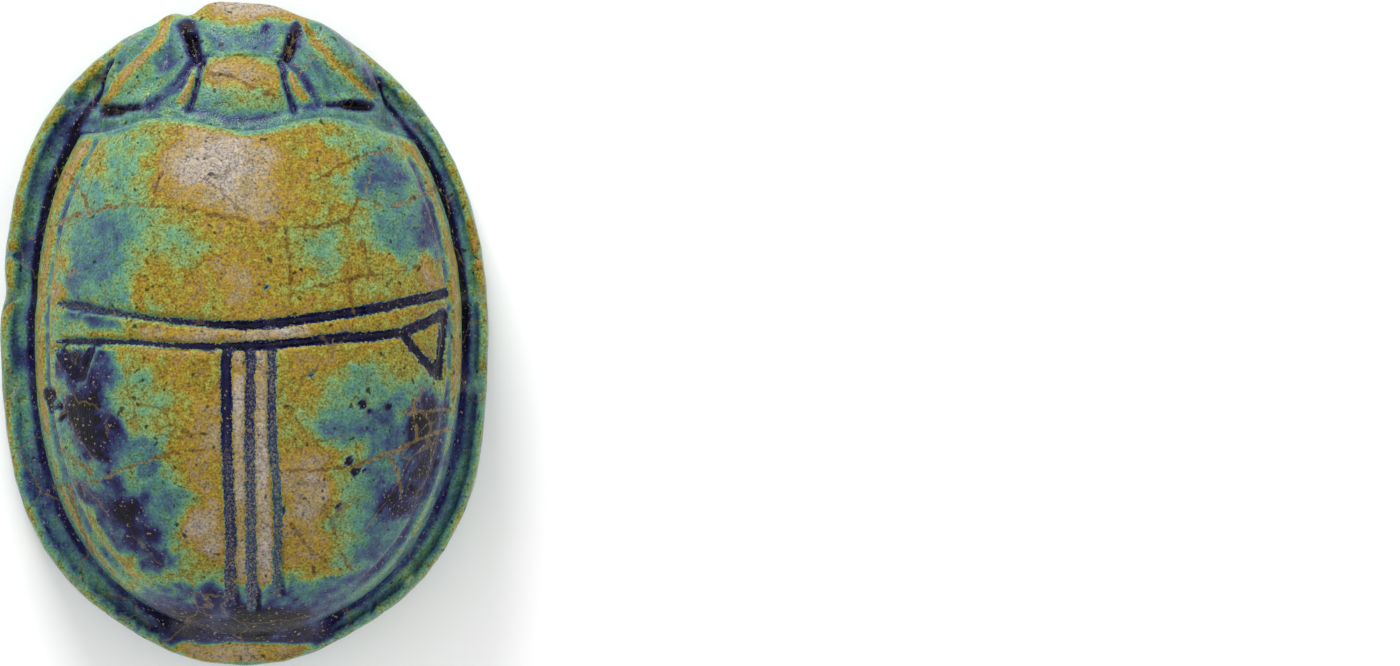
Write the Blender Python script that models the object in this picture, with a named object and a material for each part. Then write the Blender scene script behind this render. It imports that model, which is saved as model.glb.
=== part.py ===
"""Scarab amulet: a beetle carved from one piece of glazed stone, lying on its engraved base.

Z is up and the base is flat on Z = 0. The head points along +Y and +X is the beetle's right side
when it is seen from above. Sizes are in metres, written as millimetres times MM.

The piece is worked as a carver would: a blank with base plate, leg band and domed back, a wall
across the back with the lower head in front of it, then the threading hole from head to tail, and
last the lines of back and head, the cuts between the legs and the sunk design of the base.
"""

import math

import bmesh
import bpy
from mathutils import Vector

MM = 0.001

# Overall sizes of the amulet
LENGTH = 24.0 * MM
WIDTH = 17.6 * MM
HEIGHT = 10.8 * MM

# Plan outline: two half ovals, the tail a little squarer than the head
HEAD_POWER = 2.05
TAIL_POWER = 2.28
OUTLINE_SEGMENTS = 48

# Base plate, with the groove that parts it from the legs
PLATE_THICKNESS = 1.75 * MM
PLATE_EDGE_RADIUS = 0.45 * MM
FOOT_GROOVE_DEPTH = 0.5 * MM
FOOT_GROOVE_HEIGHT = 0.6 * MM

# Leg band that runs round the body above the plate, the gutter inside it and the flank behind that
LEG_TOP = 4.4 * MM
LEG_EDGE_RADIUS = 0.3 * MM
GUTTER_DEPTH = 0.45 * MM
GUTTER_INSET = 0.66 * MM
FLANK_TOP = 4.85 * MM
FLANK_INSET = 1.3 * MM
FLANK_SHELF = 0.7 * MM

# Depth under the gutter's floor at which the back and the head are rooted
ROOT_SINK = 0.7 * MM

# Domed back, which stands inside the leg band
BACK_INSET = 1.1 * MM
BACK_RIM_HEIGHT = 5.1 * MM
BACK_FULLNESS = 2.15
BACK_SHOULDER = 0.56
BACK_RINGS = 9
BACK_RING_CROWDING = 0.8
BACK_TOP_GAP = 0.2
BACK_SHIFT = 0.4

# Front edge of the back: a low wave, nearer the head on both sides of the middle
COLLAR_PLACE = 7.55 * MM
COLLAR_WAVE = 0.28 * MM
COLLAR_WAVE_TURNS = 1.3
COLLAR_CORNER_DROP = 0.3 * MM
COLLAR_STEPS = 24
NECK_STEP = 1.2 * MM

# Head, a wedge that falls from the neck to the lip
HEAD_HALF_WIDTH = 5.15 * MM
HEAD_SIDE_HEIGHT = 5.35 * MM
LIP_HEIGHT = 4.75 * MM
LIP_HALF_WIDTH = 0.95 * MM
HEAD_FALL = (2.1, 0.85)
HEAD_NARROWING = (3.2, 0.62)
HEAD_ARCHING = (2.2, 0.6)
HEAD_SIDE_FALL = 0.8
HEAD_STATION_SHARES = (0.0, 0.14, 0.30, 0.46, 0.60, 0.72, 0.82, 0.90, 0.96, 1.0)
HEAD_ARCH_SHARES = (-1.0, -0.86, -0.62, -0.34, 0.0, 0.34, 0.62, 0.86, 1.0)

# Cut lines on the back and head
WING_LINE_WIDTH = 0.40 * MM
WING_LINE_DEPTH = 0.26 * MM
CROSS_LINE_WIDTH = 0.34 * MM
CROSS_LINE_DEPTH = 0.28 * MM
RIM_LINE_WIDTH = 0.20 * MM
RIM_LINE_DEPTH = 0.13 * MM
RIM_LINE_SHARE = 0.962
RIM_LINE_STEP_DEGREES = 14.0
BROW_DEPTH = 0.36 * MM
HEAD_LINE_DEPTH = 0.45 * MM
PIT_DEPTH = 0.60 * MM
PLATE_HOLLOW_DEPTH = 0.32 * MM

# Cuts between the legs: (degrees round from the side at the foot, the same at the top)
LEG_CUT_WIDTH = 0.55 * MM
LEG_CUT_DEPTH = 0.45 * MM
LEG_CUT_TURNS = ((-2.0, 8.0), (-20.0, -4.0), (30.0, 47.0), (-38.0, -50.0))

# Hollows beside the legs: degrees round of start, middle and end
LEG_HOLLOW_TURNS = ((5.0, 14.0, 24.0), (-23.0, -29.0, -34.0), (-50.0, -63.0, -76.0), (40.0, 55.0, 72.0))
LEG_HOLLOW_HEIGHT = 2.85 * MM
LEG_HOLLOW_WIDTH = 1.1 * MM
LEG_HOLLOW_DEPTH = 0.4 * MM

# Chip in the plate's edge under the head
CHIP_PLACE = -1.5 * MM
CHIP_LENGTH = 1.3 * MM
CHIP_RISE = 1.05 * MM
CHIP_DEPTH = 0.25 * MM

# Sunk design of the base
BORDER_INSET = 0.95 * MM
BORDER_WIDTH = 0.44 * MM
BORDER_DEPTH = 0.28 * MM
BORDER_START_DEGREES = 122.0
BORDER_SWEEP_DEGREES = 344.0
BORDER_STEPS = 31
LEG_DEPTH = 0.75 * MM
ARM_DEPTH = 0.55 * MM
PLUME_DEPTH = 0.42 * MM
BODY_DEPTH = 0.36 * MM
BIRD_DEPTH = 0.50 * MM
DETAIL_DEPTH = 0.50 * MM

# Back and base are drawn in millimetres on a field of this size, which is stretched to the amulet
DRAWING_LENGTH = 24.0
DRAWING_WIDTH = 17.6

# Threading hole from head to tail
HOLE_DIAMETER = 1.5 * MM
HOLE_HEIGHT = 3.0 * MM
HOLE_SIDES = 16

# Every stroke starts this far outside the surface, and its ends are blunt and round in plan
STROKE_LIFT = 0.35 * MM
END_REACH = 0.7
END_WIDTH = 0.5
END_DEPTH = 0.55
LONG_STROKE = 5

# Sections of a stroke, from edge to edge: share of the half width, share of the depth
FLAT_CUT = ((-1.0, 0.0), (-0.5, 1.0), (0.5, 1.0), (1.0, 0.0))
ROUND_CUT = ((-1.0, 0.0), (-0.6, 0.8), (0.0, 1.0), (0.6, 0.8), (1.0, 0.0))
CUSHION_CUT = ((-1.0, 0.0), (-0.86, 1.0), (-0.5, 0.55), (0.0, 0.35), (0.5, 0.55), (0.86, 1.0), (1.0, 0.0))

# Faces that meet at more than this angle keep a sharp edge between them
CREASE_DEGREES = 35.0

UP = Vector((0.0, 0.0, 1.0))
DOWN = Vector((0.0, 0.0, -1.0))


def clear_scene():
    """Remove every object, so that the scene holds the amulet alone."""
    for thing in list(bpy.data.objects):
        bpy.data.objects.remove(thing, do_unlink=True)


# Plan outline

def signed_power(value, power):
    """Raise the size of a number to a power and keep its sign."""
    return math.copysign(abs(value) ** power, value)


def outline_point(turn, inset, height):
    """Point of the plan outline, `turn` radians round from +X and `inset` inside it."""
    power = HEAD_POWER if math.sin(turn) > 0.0 else TAIL_POWER
    x = (WIDTH / 2 - inset) * signed_power(math.cos(turn), 2.0 / power)
    y = (LENGTH / 2 - inset) * signed_power(math.sin(turn), 2.0 / power)
    return Vector((x, y, height))


def ring_turns(shift=0.0):
    """Turns of the points of a ring; a shift of a part of a step keeps two rings out of line."""
    return [2.0 * math.pi * (step + shift) / OUTLINE_SEGMENTS for step in range(OUTLINE_SEGMENTS)]


def outline_ring(inset, height, shift=0.0):
    """Closed ring of the plan outline."""
    return [outline_point(turn, inset, height) for turn in ring_turns(shift)]


def drawing_place(x, y):
    """Plan place in metres of a point of the drawing in millimetres."""
    return x * WIDTH / DRAWING_WIDTH, y * LENGTH / DRAWING_LENGTH


# Making and combining solids

def skin(bm, rings):
    """Cover a row of closed rings, all with as many points, and cap both ends."""
    rows = [[bm.verts.new(point) for point in ring] for ring in rings]
    count = len(rows[0])
    for low, high in zip(rows, rows[1:]):
        for i in range(count):
            j = (i + 1) % count
            bm.faces.new((low[i], low[j], high[j], high[i]))
    bm.faces.new(rows[0])
    bm.faces.new(rows[-1])


def finish_mesh(name, bm, tool=False):
    """Make an object of a mesh with its faces turned outwards; a tool only shapes the piece."""
    bmesh.ops.recalc_face_normals(bm, faces=bm.faces)
    mesh = bpy.data.meshes.new(name)
    bm.to_mesh(mesh)
    bm.free()
    thing = bpy.data.objects.new(name, mesh)
    bpy.context.collection.objects.link(thing)
    if tool:
        thing.display_type = 'WIRE'
        thing.hide_render = True
    return thing


def combine(piece, tool, operation, overlapping=False):
    """Add a live Boolean to the piece; a tool of overlapping strokes is read as their union."""
    step = piece.modifiers.new(tool.name, 'BOOLEAN')
    step.operation = operation
    step.object = tool
    step.solver = 'EXACT'
    step.use_self = overlapping


# The blank: base plate, leg band and gutter

def rounded_edge(centre_height, radius, start_degrees, end_degrees, steps):
    """Levels (inset, height) round an edge whose outside touches the outline."""
    levels = []
    for step in range(steps + 1):
        turn = math.radians(start_degrees + (end_degrees - start_degrees) * step / steps)
        levels.append((radius - radius * math.cos(turn), centre_height + radius * math.sin(turn)))
    return levels


def gutter_floor():
    """Height of the gutter's floor."""
    return LEG_TOP - GUTTER_DEPTH


def make_blank():
    """Stack the outline from the base to the leg crest, into the gutter and up the flank."""
    leg_foot = PLATE_THICKNESS + FOOT_GROOVE_HEIGHT
    levels = rounded_edge(PLATE_EDGE_RADIUS, PLATE_EDGE_RADIUS, -90.0, 0.0, 2)
    levels += rounded_edge(PLATE_THICKNESS - PLATE_EDGE_RADIUS, PLATE_EDGE_RADIUS, 0.0, 90.0, 2)
    levels.append((FOOT_GROOVE_DEPTH, PLATE_THICKNESS + FOOT_GROOVE_HEIGHT / 2))
    levels += rounded_edge(leg_foot + LEG_EDGE_RADIUS, LEG_EDGE_RADIUS, -90.0, 0.0, 1)
    levels += rounded_edge(LEG_TOP - LEG_EDGE_RADIUS, LEG_EDGE_RADIUS, 0.0, 90.0, 2)
    levels.append((GUTTER_INSET, gutter_floor()))
    levels.append((FLANK_INSET, FLANK_TOP))
    levels.append((FLANK_INSET + FLANK_SHELF, FLANK_TOP))
    bm = bmesh.new()
    skin(bm, [outline_ring(inset, height) for inset, height in levels])
    return finish_mesh("scarab", bm)


# The domed back

def back_height(x, y):
    """Height of the uncut back over a place of the plan."""
    power = HEAD_POWER if y > 0.0 else TAIL_POWER
    across = abs(x) / (WIDTH / 2 - BACK_INSET)
    along = abs(y) / (LENGTH / 2 - BACK_INSET)
    share = min((across ** power + along ** power) ** (1.0 / power), 1.0)
    rise = (1.0 - share ** BACK_FULLNESS) ** BACK_SHOULDER
    return BACK_RIM_HEIGHT + (HEIGHT - BACK_RIM_HEIGHT) * rise


def back_normal(x, y):
    """Outward direction of the uncut back, from the heights close by."""
    reach = 0.05 * MM
    slope_x = (back_height(x + reach, y) - back_height(x - reach, y)) / (2 * reach)
    slope_y = (back_height(x, y + reach) - back_height(x, y - reach)) / (2 * reach)
    return Vector((-slope_x, -slope_y, 1.0)).normalized()


def rim_place(turn, share):
    """Plan place on the back, `turn` radians round and `share` of the way to its rim."""
    edge = outline_point(turn, BACK_INSET, 0.0)
    return edge.x * share, edge.y * share


def make_back():
    """Stand the dome on the flank: a low steep wall, then rings that close in to the top."""
    foot = gutter_floor() - ROOT_SINK
    rings = [outline_ring(BACK_INSET, height, BACK_SHIFT) for height in (foot, BACK_RIM_HEIGHT)]
    for step in range(1, BACK_RINGS + 1):
        angle = 0.5 * math.pi * step / (BACK_RINGS + BACK_TOP_GAP)
        share = math.cos(angle) ** BACK_RING_CROWDING
        places = [rim_place(turn, share) for turn in ring_turns(BACK_SHIFT)]
        rings.append([Vector((x, y, back_height(x, y))) for x, y in places])
    bm = bmesh.new()
    skin(bm, rings)
    return finish_mesh("domed_back", bm, tool=True)


def collar_y(x):
    """Where the front edge of the back runs: high beside the middle, low there and at the ends."""
    share = x / (WIDTH / 2 - BACK_INSET)
    wave = COLLAR_WAVE * math.cos(2.0 * math.pi * COLLAR_WAVE_TURNS * share)
    return COLLAR_PLACE - wave - COLLAR_CORNER_DROP * share ** 2


def make_head_room():
    """Clear all of the dome that is in front of the collar, down to its root."""
    plan = []
    for step in range(COLLAR_STEPS + 1):
        x = WIDTH * (step / COLLAR_STEPS - 0.5)
        plan.append((x, collar_y(x)))
    plan += [(WIDTH / 2, LENGTH), (-WIDTH / 2, LENGTH)]
    floor = gutter_floor() - 2 * ROOT_SINK
    bm = bmesh.new()
    skin(bm, [[Vector((x, y, height)) for x, y in plan] for height in (floor, 2 * HEIGHT)])
    return finish_mesh("head_room", bm, tool=True)


# The head

def head_start():
    """Where the head begins, hidden under the collar."""
    return COLLAR_PLACE - 2 * COLLAR_WAVE - COLLAR_CORNER_DROP


def fall_off(share, powers):
    """Round shoulder that is 1 at a share of 0 and comes down to 0 at a share of 1."""
    return (1.0 - min(abs(share), 1.0) ** powers[0]) ** powers[1]


def head_profile(share):
    """Height of the middle and of the sides, and half width, at a share of the way to the lip."""
    neck = back_height(0.0, COLLAR_PLACE) - NECK_STEP
    middle = LIP_HEIGHT + (neck - LIP_HEIGHT) * fall_off(share, HEAD_FALL)
    side = HEAD_SIDE_HEIGHT + (LIP_HEIGHT - HEAD_SIDE_HEIGHT) * share ** HEAD_SIDE_FALL
    half_width = LIP_HALF_WIDTH + (HEAD_HALF_WIDTH - LIP_HALF_WIDTH) * fall_off(share, HEAD_NARROWING)
    return middle, side, half_width


def arch_height(middle, side, across):
    """Height over a section of the head, with `across` from -1 to 1."""
    return side + (middle - side) * fall_off(across, HEAD_ARCHING)


def head_height(x, y):
    """Height of the uncut head over a place of the plan."""
    start = head_start()
    share = min(max((y - start) / (LENGTH / 2 - start), 0.0), 1.0)
    middle, side, half_width = head_profile(share)
    return arch_height(middle, side, min(abs(x) / half_width, 1.0))


def make_head():
    """Loft the wedge of the head from under the collar to the lip."""
    start = head_start()
    foot = gutter_floor() - ROOT_SINK
    rings = []
    for share in HEAD_STATION_SHARES:
        y = start + (LENGTH / 2 - start) * share
        middle, side, half_width = head_profile(share)
        arch = [Vector((a * half_width, y, arch_height(middle, side, a))) for a in HEAD_ARCH_SHARES]
        rings.append([Vector((-half_width, y, foot))] + arch + [Vector((half_width, y, foot))])
    bm = bmesh.new()
    skin(bm, rings)
    return finish_mesh("head_wedge", bm, tool=True)


# Strokes of the carving tool

def smooth_path(points):
    """Run a smooth curve through rows of numbers, with one row more in each gap of a short row."""
    if len(points) < 3 or len(points) >= LONG_STROKE:
        return points
    rows = [points[0]] + list(points) + [points[-1]]
    path = []
    for before, start, end, after in zip(rows, rows[1:], rows[2:], rows[3:]):
        path.append(start)
        path.append([(9 * (b + c) - a - d) / 16 for a, b, c, d in zip(before, start, end, after)])
    path.append(points[-1])
    return path


def sweep(bm, stations, section):
    """Cut along stations (place, outward direction, half width, depth)."""
    chain = list(stations)
    for end, neighbour in ((0, 1), (-1, -2)):
        place, outward, half_width, depth = stations[end]
        lead = (place - stations[neighbour][0]).normalized() * half_width * END_REACH
        tip = (place + lead, outward, half_width * END_WIDTH, depth * END_DEPTH)
        chain.insert(0 if end == 0 else len(chain), tip)
    rings = []
    for i, (place, outward, half_width, depth) in enumerate(chain):
        ahead = chain[min(i + 1, len(chain) - 1)][0]
        behind = chain[max(i - 1, 0)][0]
        side = (ahead - behind).cross(outward).normalized() * half_width
        ring = [place - side + outward * STROKE_LIFT]
        ring += [place + side * share - outward * sink * depth for share, sink in section]
        ring.append(place + side + outward * STROKE_LIFT)
        rings.append(ring)
    skin(bm, rings)


# Lines of the back

def back_station(x, y, width, depth):
    """Station of a stroke on the dome."""
    return Vector((x, y, back_height(x, y))), back_normal(x, y), width / 2, depth


def back_stroke(bm, points, width, depth):
    """Cut a line on the domed back through points of the drawing."""
    places = [drawing_place(x, y) for x, y in smooth_path(points)]
    sweep(bm, [back_station(x, y, width, depth) for x, y in places], FLAT_CUT)


def rim_stroke(bm, start_degrees, end_degrees):
    """Cut a thin line just inside the rim of the back, which leaves the rim as a bead."""
    steps = round(abs(end_degrees - start_degrees) / RIM_LINE_STEP_DEGREES)
    stations = []
    for step in range(steps + 1):
        turn = math.radians(start_degrees + (end_degrees - start_degrees) * step / steps)
        x, y = rim_place(turn, RIM_LINE_SHARE)
        stations.append(back_station(x, y, RIM_LINE_WIDTH, RIM_LINE_DEPTH))
    sweep(bm, stations, FLAT_CUT)


def cut_back_lines(bm):
    """Three wing lines, the double line across the back, shoulder notches and rim beads."""
    for top_x, end_x, end_y in ((-0.62, -0.58, -9.5), (0.20, 0.22, -9.75), (0.99, 1.13, -9.4)):
        wing_line = ((top_x, -0.55), (top_x, -3.6), (end_x, -6.6), (end_x, end_y))
        back_stroke(bm, wing_line, WING_LINE_WIDTH, WING_LINE_DEPTH)
    upper_line = ((-7.0, 0.75), (-4.7, 0.52), (-0.2, 0.28), (3.1, 0.47), (7.1, 1.42))
    lower_line = ((-6.8, -0.12), (-3.8, -0.36), (-0.9, -0.50), (3.8, -0.14), (7.1, 0.95))
    shoulder_lines = [((5.6 * side, -0.02), (6.75 * side, -1.5)) for side in (-1.0, 1.0)]
    shoulder_lines += [((7.1 * side, 0.55), (6.9 * side, -1.5)) for side in (-1.0, 1.0)]
    for line in [upper_line, lower_line] + shoulder_lines:
        back_stroke(bm, line, CROSS_LINE_WIDTH, CROSS_LINE_DEPTH)
    for start, end in ((-86.0, 2.0), (8.0, 44.0), (178.0, 266.0), (136.0, 172.0)):
        rim_stroke(bm, start, end)


# Lines of the head

def head_stroke(bm, points, depth, section=FLAT_CUT):
    """Cut the head along drawing points (x, y, width)."""
    stations = []
    for x, y, width in smooth_path(points):
        x, y = drawing_place(x, y)
        stations.append((Vector((x, y, head_height(x, y))), UP, width * MM / 2, depth))
    sweep(bm, stations, section)


def cut_head_lines(bm):
    """Hollow of the brow plate, pits beside it, strips by the crown, hollows of the side plates."""
    head_stroke(bm, ((-1.5, 10.5, 1.2), (0.0, 10.6, 1.4), (1.45, 10.5, 1.2)), BROW_DEPTH, ROUND_CUT)
    for side in (-1.0, 1.0):
        head_stroke(bm, ((2.25 * side, 11.3, 0.4), (1.95 * side, 10.3, 0.55), (1.65 * side, 9.6, 0.4)),
                    PIT_DEPTH)
        head_stroke(bm, ((1.60 * side, 9.6, 0.3), (1.95 * side, 7.9, 0.32)), HEAD_LINE_DEPTH)
        head_stroke(bm, ((2.0 * side, 9.8, 0.3), (2.75 * side, 8.2, 0.34)), HEAD_LINE_DEPTH)
        head_stroke(bm, ((2.8 * side, 10.9, 0.4), (3.45 * side, 9.6, 1.0), (4.0 * side, 8.7, 1.3)),
                    PLATE_HOLLOW_DEPTH, ROUND_CUT)


# Cuts in the sides

def side_station(side, degrees, height, width, depth):
    """Station of a stroke on the leg band, `degrees` forward of the beetle's side."""
    place = outline_point(math.radians(degrees), 0.0, height)
    place.x *= side
    outward = Vector((place.x, place.y * WIDTH / LENGTH, 0.0)).normalized()
    return place, outward, width / 2, depth


def cut_between_legs(bm):
    """Part the legs with slanting cuts from the foot of the leg band to its crest, and hollow it."""
    foot = PLATE_THICKNESS + FOOT_GROOVE_HEIGHT / 2
    crest = LEG_TOP + LEG_EDGE_RADIUS
    for side in (-1.0, 1.0):
        for foot_turn, crest_turn in LEG_CUT_TURNS:
            stations = []
            for share in (0.0, 0.5, 1.0):
                degrees = foot_turn + (crest_turn - foot_turn) * share
                height = foot + (crest - foot) * share
                stations.append(side_station(side, degrees, height, LEG_CUT_WIDTH, LEG_CUT_DEPTH))
            sweep(bm, stations, FLAT_CUT)
        for turns in LEG_HOLLOW_TURNS:
            widths = (LEG_HOLLOW_WIDTH / 2, LEG_HOLLOW_WIDTH, LEG_HOLLOW_WIDTH / 2)
            stations = [side_station(side, degrees, LEG_HOLLOW_HEIGHT, width, LEG_HOLLOW_DEPTH)
                        for degrees, width in zip(turns, widths)]
            sweep(bm, stations, ROUND_CUT)


def cut_chip(bm):
    """Shallow flake off the plate's edge, left of the middle under the head."""
    low = Vector((CHIP_PLACE, LENGTH / 2, 0.0))
    high = low + UP * CHIP_RISE
    outward = Vector((0.0, 1.0, 0.0))
    stations = [(low, outward, CHIP_LENGTH / 2, 2 * CHIP_DEPTH), (high, outward, CHIP_LENGTH / 2, CHIP_DEPTH)]
    sweep(bm, stations, ROUND_CUT)


# The sunk design of the base. Its figures stand across the beetle: a drawing point is (along, up,
# width), with `along` towards the head and `up` towards the beetle's right side.

def seal_stroke(bm, points, depth, section=FLAT_CUT):
    """Cut one stroke of the base design."""
    stations = []
    for along, up, width in smooth_path(points):
        x, y = drawing_place(up, along)
        stations.append((Vector((x, y, 0.0)), DOWN, width * MM / 2, depth))
    sweep(bm, stations, section)


def seal_border(bm):
    """Border line that follows the edge, with a gap where it fades out on the tail side."""
    stations = []
    for step in range(BORDER_STEPS + 1):
        degrees = BORDER_START_DEGREES + BORDER_SWEEP_DEGREES * step / BORDER_STEPS
        place = outline_point(-math.radians(degrees), BORDER_INSET, 0.0)
        stations.append((place, DOWN, BORDER_WIDTH / 2, BORDER_DEPTH))
    sweep(bm, stations, FLAT_CUT)


def middle_figure(bm):
    """Large figure facing out, with four plumes, arms akimbo, bent legs and a hanging tail."""
    plumes = (
        ((-1.46, 7.50, 0.56), (-1.14, 4.50, 0.60)),
        ((-0.53, 7.40, 0.42), (-0.42, 4.40, 0.48)),
        ((0.53, 7.20, 0.42), (0.77, 4.40, 0.48)),
        ((1.49, 7.50, 0.48), (1.86, 5.70, 0.54), (1.75, 4.50, 0.50)),
        ((-1.14, 4.45, 0.46), (-0.13, 4.10, 0.48), (1.03, 4.10, 0.48), (1.75, 4.50, 0.46)),
    )
    for plume in plumes:
        seal_stroke(bm, plume, PLUME_DEPTH)
    head = ((0.1, 4.0, 1.7), (0.1, 3.1, 2.7), (0.1, 2.3, 2.8), (0.1, 1.3, 2.6), (0.1, 0.5, 2.5))
    torso = ((0.13, 0.35, 2.5), (0.13, -1.0, 2.7), (0.13, -2.4, 2.7), (0.3, -3.7, 3.1))
    seal_stroke(bm, head, BODY_DEPTH, CUSHION_CUT)
    seal_stroke(bm, torso, BODY_DEPTH, CUSHION_CUT)
    details = (
        ((-0.78, 2.41, 0.32), (-0.44, 2.41, 0.32)),
        ((0.58, 2.41, 0.32), (0.92, 2.41, 0.32)),
        ((-0.55, 0.90, 0.30), (-0.36, 1.35, 0.30), (0.13, 1.55, 0.32), (0.62, 1.35, 0.30), (0.8, 0.9, 0.3)),
        ((-1.20, 2.95, 0.55), (-1.75, 2.45, 0.46)),
        ((1.45, 2.90, 0.55), (1.75, 2.58, 0.46), (2.90, 2.50, 0.42)),
        ((-0.95, 0.50, 0.30), (1.15, 0.50, 0.30)),
        ((0.32, -1.86, 0.50), (0.32, -2.20, 0.50)),
    )
    for detail in details:
        seal_stroke(bm, detail, DETAIL_DEPTH)
    left_arm = ((-1.3, 0.68, 0.55), (-2.55, 0.50, 0.62), (-3.3, -0.20, 0.64), (-3.4, -0.95, 0.66),
                (-3.1, -2.0, 0.66), (-2.5, -2.95, 0.6), (-2.2, -3.35, 0.5))
    right_arm = ((1.35, 0.72, 0.6), (2.90, 0.62, 0.74), (3.85, 0.0, 0.72), (3.93, -0.77, 0.58),
                 (3.55, -1.7, 0.5), (3.12, -2.75, 0.32))
    seal_stroke(bm, left_arm, ARM_DEPTH)
    seal_stroke(bm, right_arm, ARM_DEPTH)
    left_leg = ((-1.5, -0.2, 0.48), (-1.33, -1.9, 0.52), (-1.25, -2.8, 0.6), (-1.7, -3.6, 0.95),
                (-2.1, -4.4, 1.0), (-2.2, -5.5, 0.84), (-2.1, -6.5, 0.7), (-2.5, -7.05, 0.64),
                (-3.05, -7.4, 0.46))
    right_leg = ((1.9, 0.3, 0.56), (1.80, -1.3, 0.56), (1.85, -2.6, 0.64), (2.3, -3.5, 0.95),
                 (2.9, -4.35, 1.05), (3.2, -5.15, 0.94), (2.97, -5.9, 0.74), (3.0, -6.6, 0.64),
                 (3.6, -6.95, 0.58), (4.5, -7.0, 0.5))
    tail = ((0.40, -4.0, 0.7), (0.42, -5.2, 0.74), (0.48, -6.4, 0.66), (0.9, -7.1, 0.56),
            (1.5, -7.0, 0.46))
    for limb in (left_leg, right_leg, tail):
        seal_stroke(bm, limb, LEG_DEPTH)


def tail_side_figure(bm):
    """Smaller figure on the tail side, with four plumes, hanging arms and legs astride."""
    plumes = (
        ((-8.47, 5.20, 0.40), (-8.44, 3.90, 0.44)),
        ((-7.64, 6.00, 0.42), (-7.64, 3.90, 0.46)),
        ((-6.90, 6.40, 0.42), (-6.90, 3.90, 0.46)),
        ((-5.89, 6.50, 0.24), (-5.92, 5.50, 0.56), (-6.15, 3.85, 0.50)),
        ((-8.40, 3.85, 0.40), (-6.20, 3.80, 0.40)),
    )
    for plume in plumes:
        seal_stroke(bm, plume, PLUME_DEPTH)
    body = ((-7.3, 3.8, 2.0), (-7.3, 2.7, 2.35), (-7.35, 1.2, 2.2), (-7.4, -0.3, 2.0), (-7.4, -1.5, 2.1))
    seal_stroke(bm, body, BODY_DEPTH, CUSHION_CUT)
    for ear in (((-8.3, 2.9, 0.5), (-9.15, 2.7, 0.38)), ((-6.3, 2.8, 0.6), (-5.5, 2.7, 0.4))):
        seal_stroke(bm, ear, DETAIL_DEPTH)
    left_arm = ((-8.5, 1.5, 0.46), (-9.45, 1.2, 0.48), (-9.75, 0.4, 0.54), (-9.84, -0.4, 0.64),
                (-9.88, -1.15, 0.56))
    right_arm = ((-6.35, 1.3, 0.48), (-5.9, 0.72, 0.46), (-5.35, 1.05, 0.48), (-4.95, 0.4, 0.64),
                 (-4.95, -0.5, 0.64), (-4.9, -1.65, 0.36))
    seal_stroke(bm, left_arm, ARM_DEPTH)
    seal_stroke(bm, right_arm, ARM_DEPTH)
    left_leg = ((-8.5, 1.1, 0.42), (-8.25, 0.0, 0.48), (-8.2, -0.8, 0.54), (-8.65, -1.4, 0.74),
                (-9.1, -2.1, 0.74), (-9.2, -3.3, 0.64), (-9.1, -4.5, 0.56), (-9.45, -4.9, 0.44))
    right_leg = ((-6.45, 0.6, 0.46), (-6.5, -0.7, 0.54), (-6.2, -1.7, 0.8), (-5.75, -2.6, 0.84),
                 (-5.73, -3.5, 0.7), (-5.8, -4.4, 0.58), (-5.3, -4.6, 0.54), (-4.7, -4.6, 0.48))
    tail = ((-7.4, -2.2, 0.6), (-7.6, -3.3, 0.64), (-7.67, -4.5, 0.62), (-7.6, -5.1, 0.5))
    for limb in (left_leg, right_leg, tail):
        seal_stroke(bm, limb, LEG_DEPTH)


def head_side_figure(bm):
    """Smaller figure on the head side, with three spread plumes and both arms curved in."""
    plumes = (
        ((5.70, 5.90, 0.56), (6.20, 5.10, 0.62), (6.85, 4.10, 0.62)),
        ((7.21, 6.30, 0.50), (7.26, 4.10, 0.56)),
        ((8.70, 5.30, 0.50), (7.98, 4.10, 0.56)),
        ((6.85, 3.95, 0.56), (7.95, 3.95, 0.56)),
    )
    for plume in plumes:
        seal_stroke(bm, plume, PLUME_DEPTH)
    head = ((7.35, 3.8, 1.4), (7.33, 3.0, 2.0), (7.3, 2.2, 1.5), (7.25, 1.3, 1.6))
    torso = ((7.2, 1.0, 1.9), (7.15, 0.2, 2.0), (7.15, -0.6, 1.8), (7.15, -1.3, 1.8))
    seal_stroke(bm, head, BODY_DEPTH, CUSHION_CUT)
    seal_stroke(bm, torso, BODY_DEPTH, CUSHION_CUT)
    for ear in (((6.6, 2.7, 0.54), (5.95, 2.6, 0.34)), ((8.1, 2.85, 0.6), (8.9, 2.72, 0.38))):
        seal_stroke(bm, ear, DETAIL_DEPTH)
    left_arm = ((6.7, 1.05, 0.46), (5.97, 1.2, 0.48), (5.15, 1.1, 0.48), (4.87, 0.5, 0.48),
                (4.95, -0.3, 0.48), (5.25, -1.2, 0.40))
    right_arm = ((8.1, 1.15, 0.5), (8.95, 1.2, 0.6), (9.55, 0.7, 0.62), (9.78, -0.1, 0.58),
                 (9.4, -0.95, 0.56), (9.05, -1.5, 0.40))
    seal_stroke(bm, left_arm, ARM_DEPTH)
    seal_stroke(bm, right_arm, ARM_DEPTH)
    left_leg = ((6.2, 0.7, 0.46), (6.2, -0.2, 0.5), (6.3, -1.0, 0.58), (5.9, -1.7, 0.66),
                (5.55, -2.4, 0.66), (5.52, -3.3, 0.58), (5.52, -4.2, 0.54), (4.9, -4.75, 0.46))
    right_leg = ((8.25, 0.7, 0.46), (8.0, -0.5, 0.5), (8.1, -1.4, 0.58), (8.45, -2.2, 0.7),
                 (8.75, -2.9, 0.66), (8.5, -3.6, 0.8), (8.5, -4.2, 0.74), (8.85, -4.5, 0.44))
    tail = ((7.25, -2.1, 0.52), (7.2, -3.3, 0.58), (7.17, -4.1, 0.58), (7.38, -4.6, 0.46))
    for limb in (left_leg, right_leg, tail):
        seal_stroke(bm, limb, LEG_DEPTH)


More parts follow.
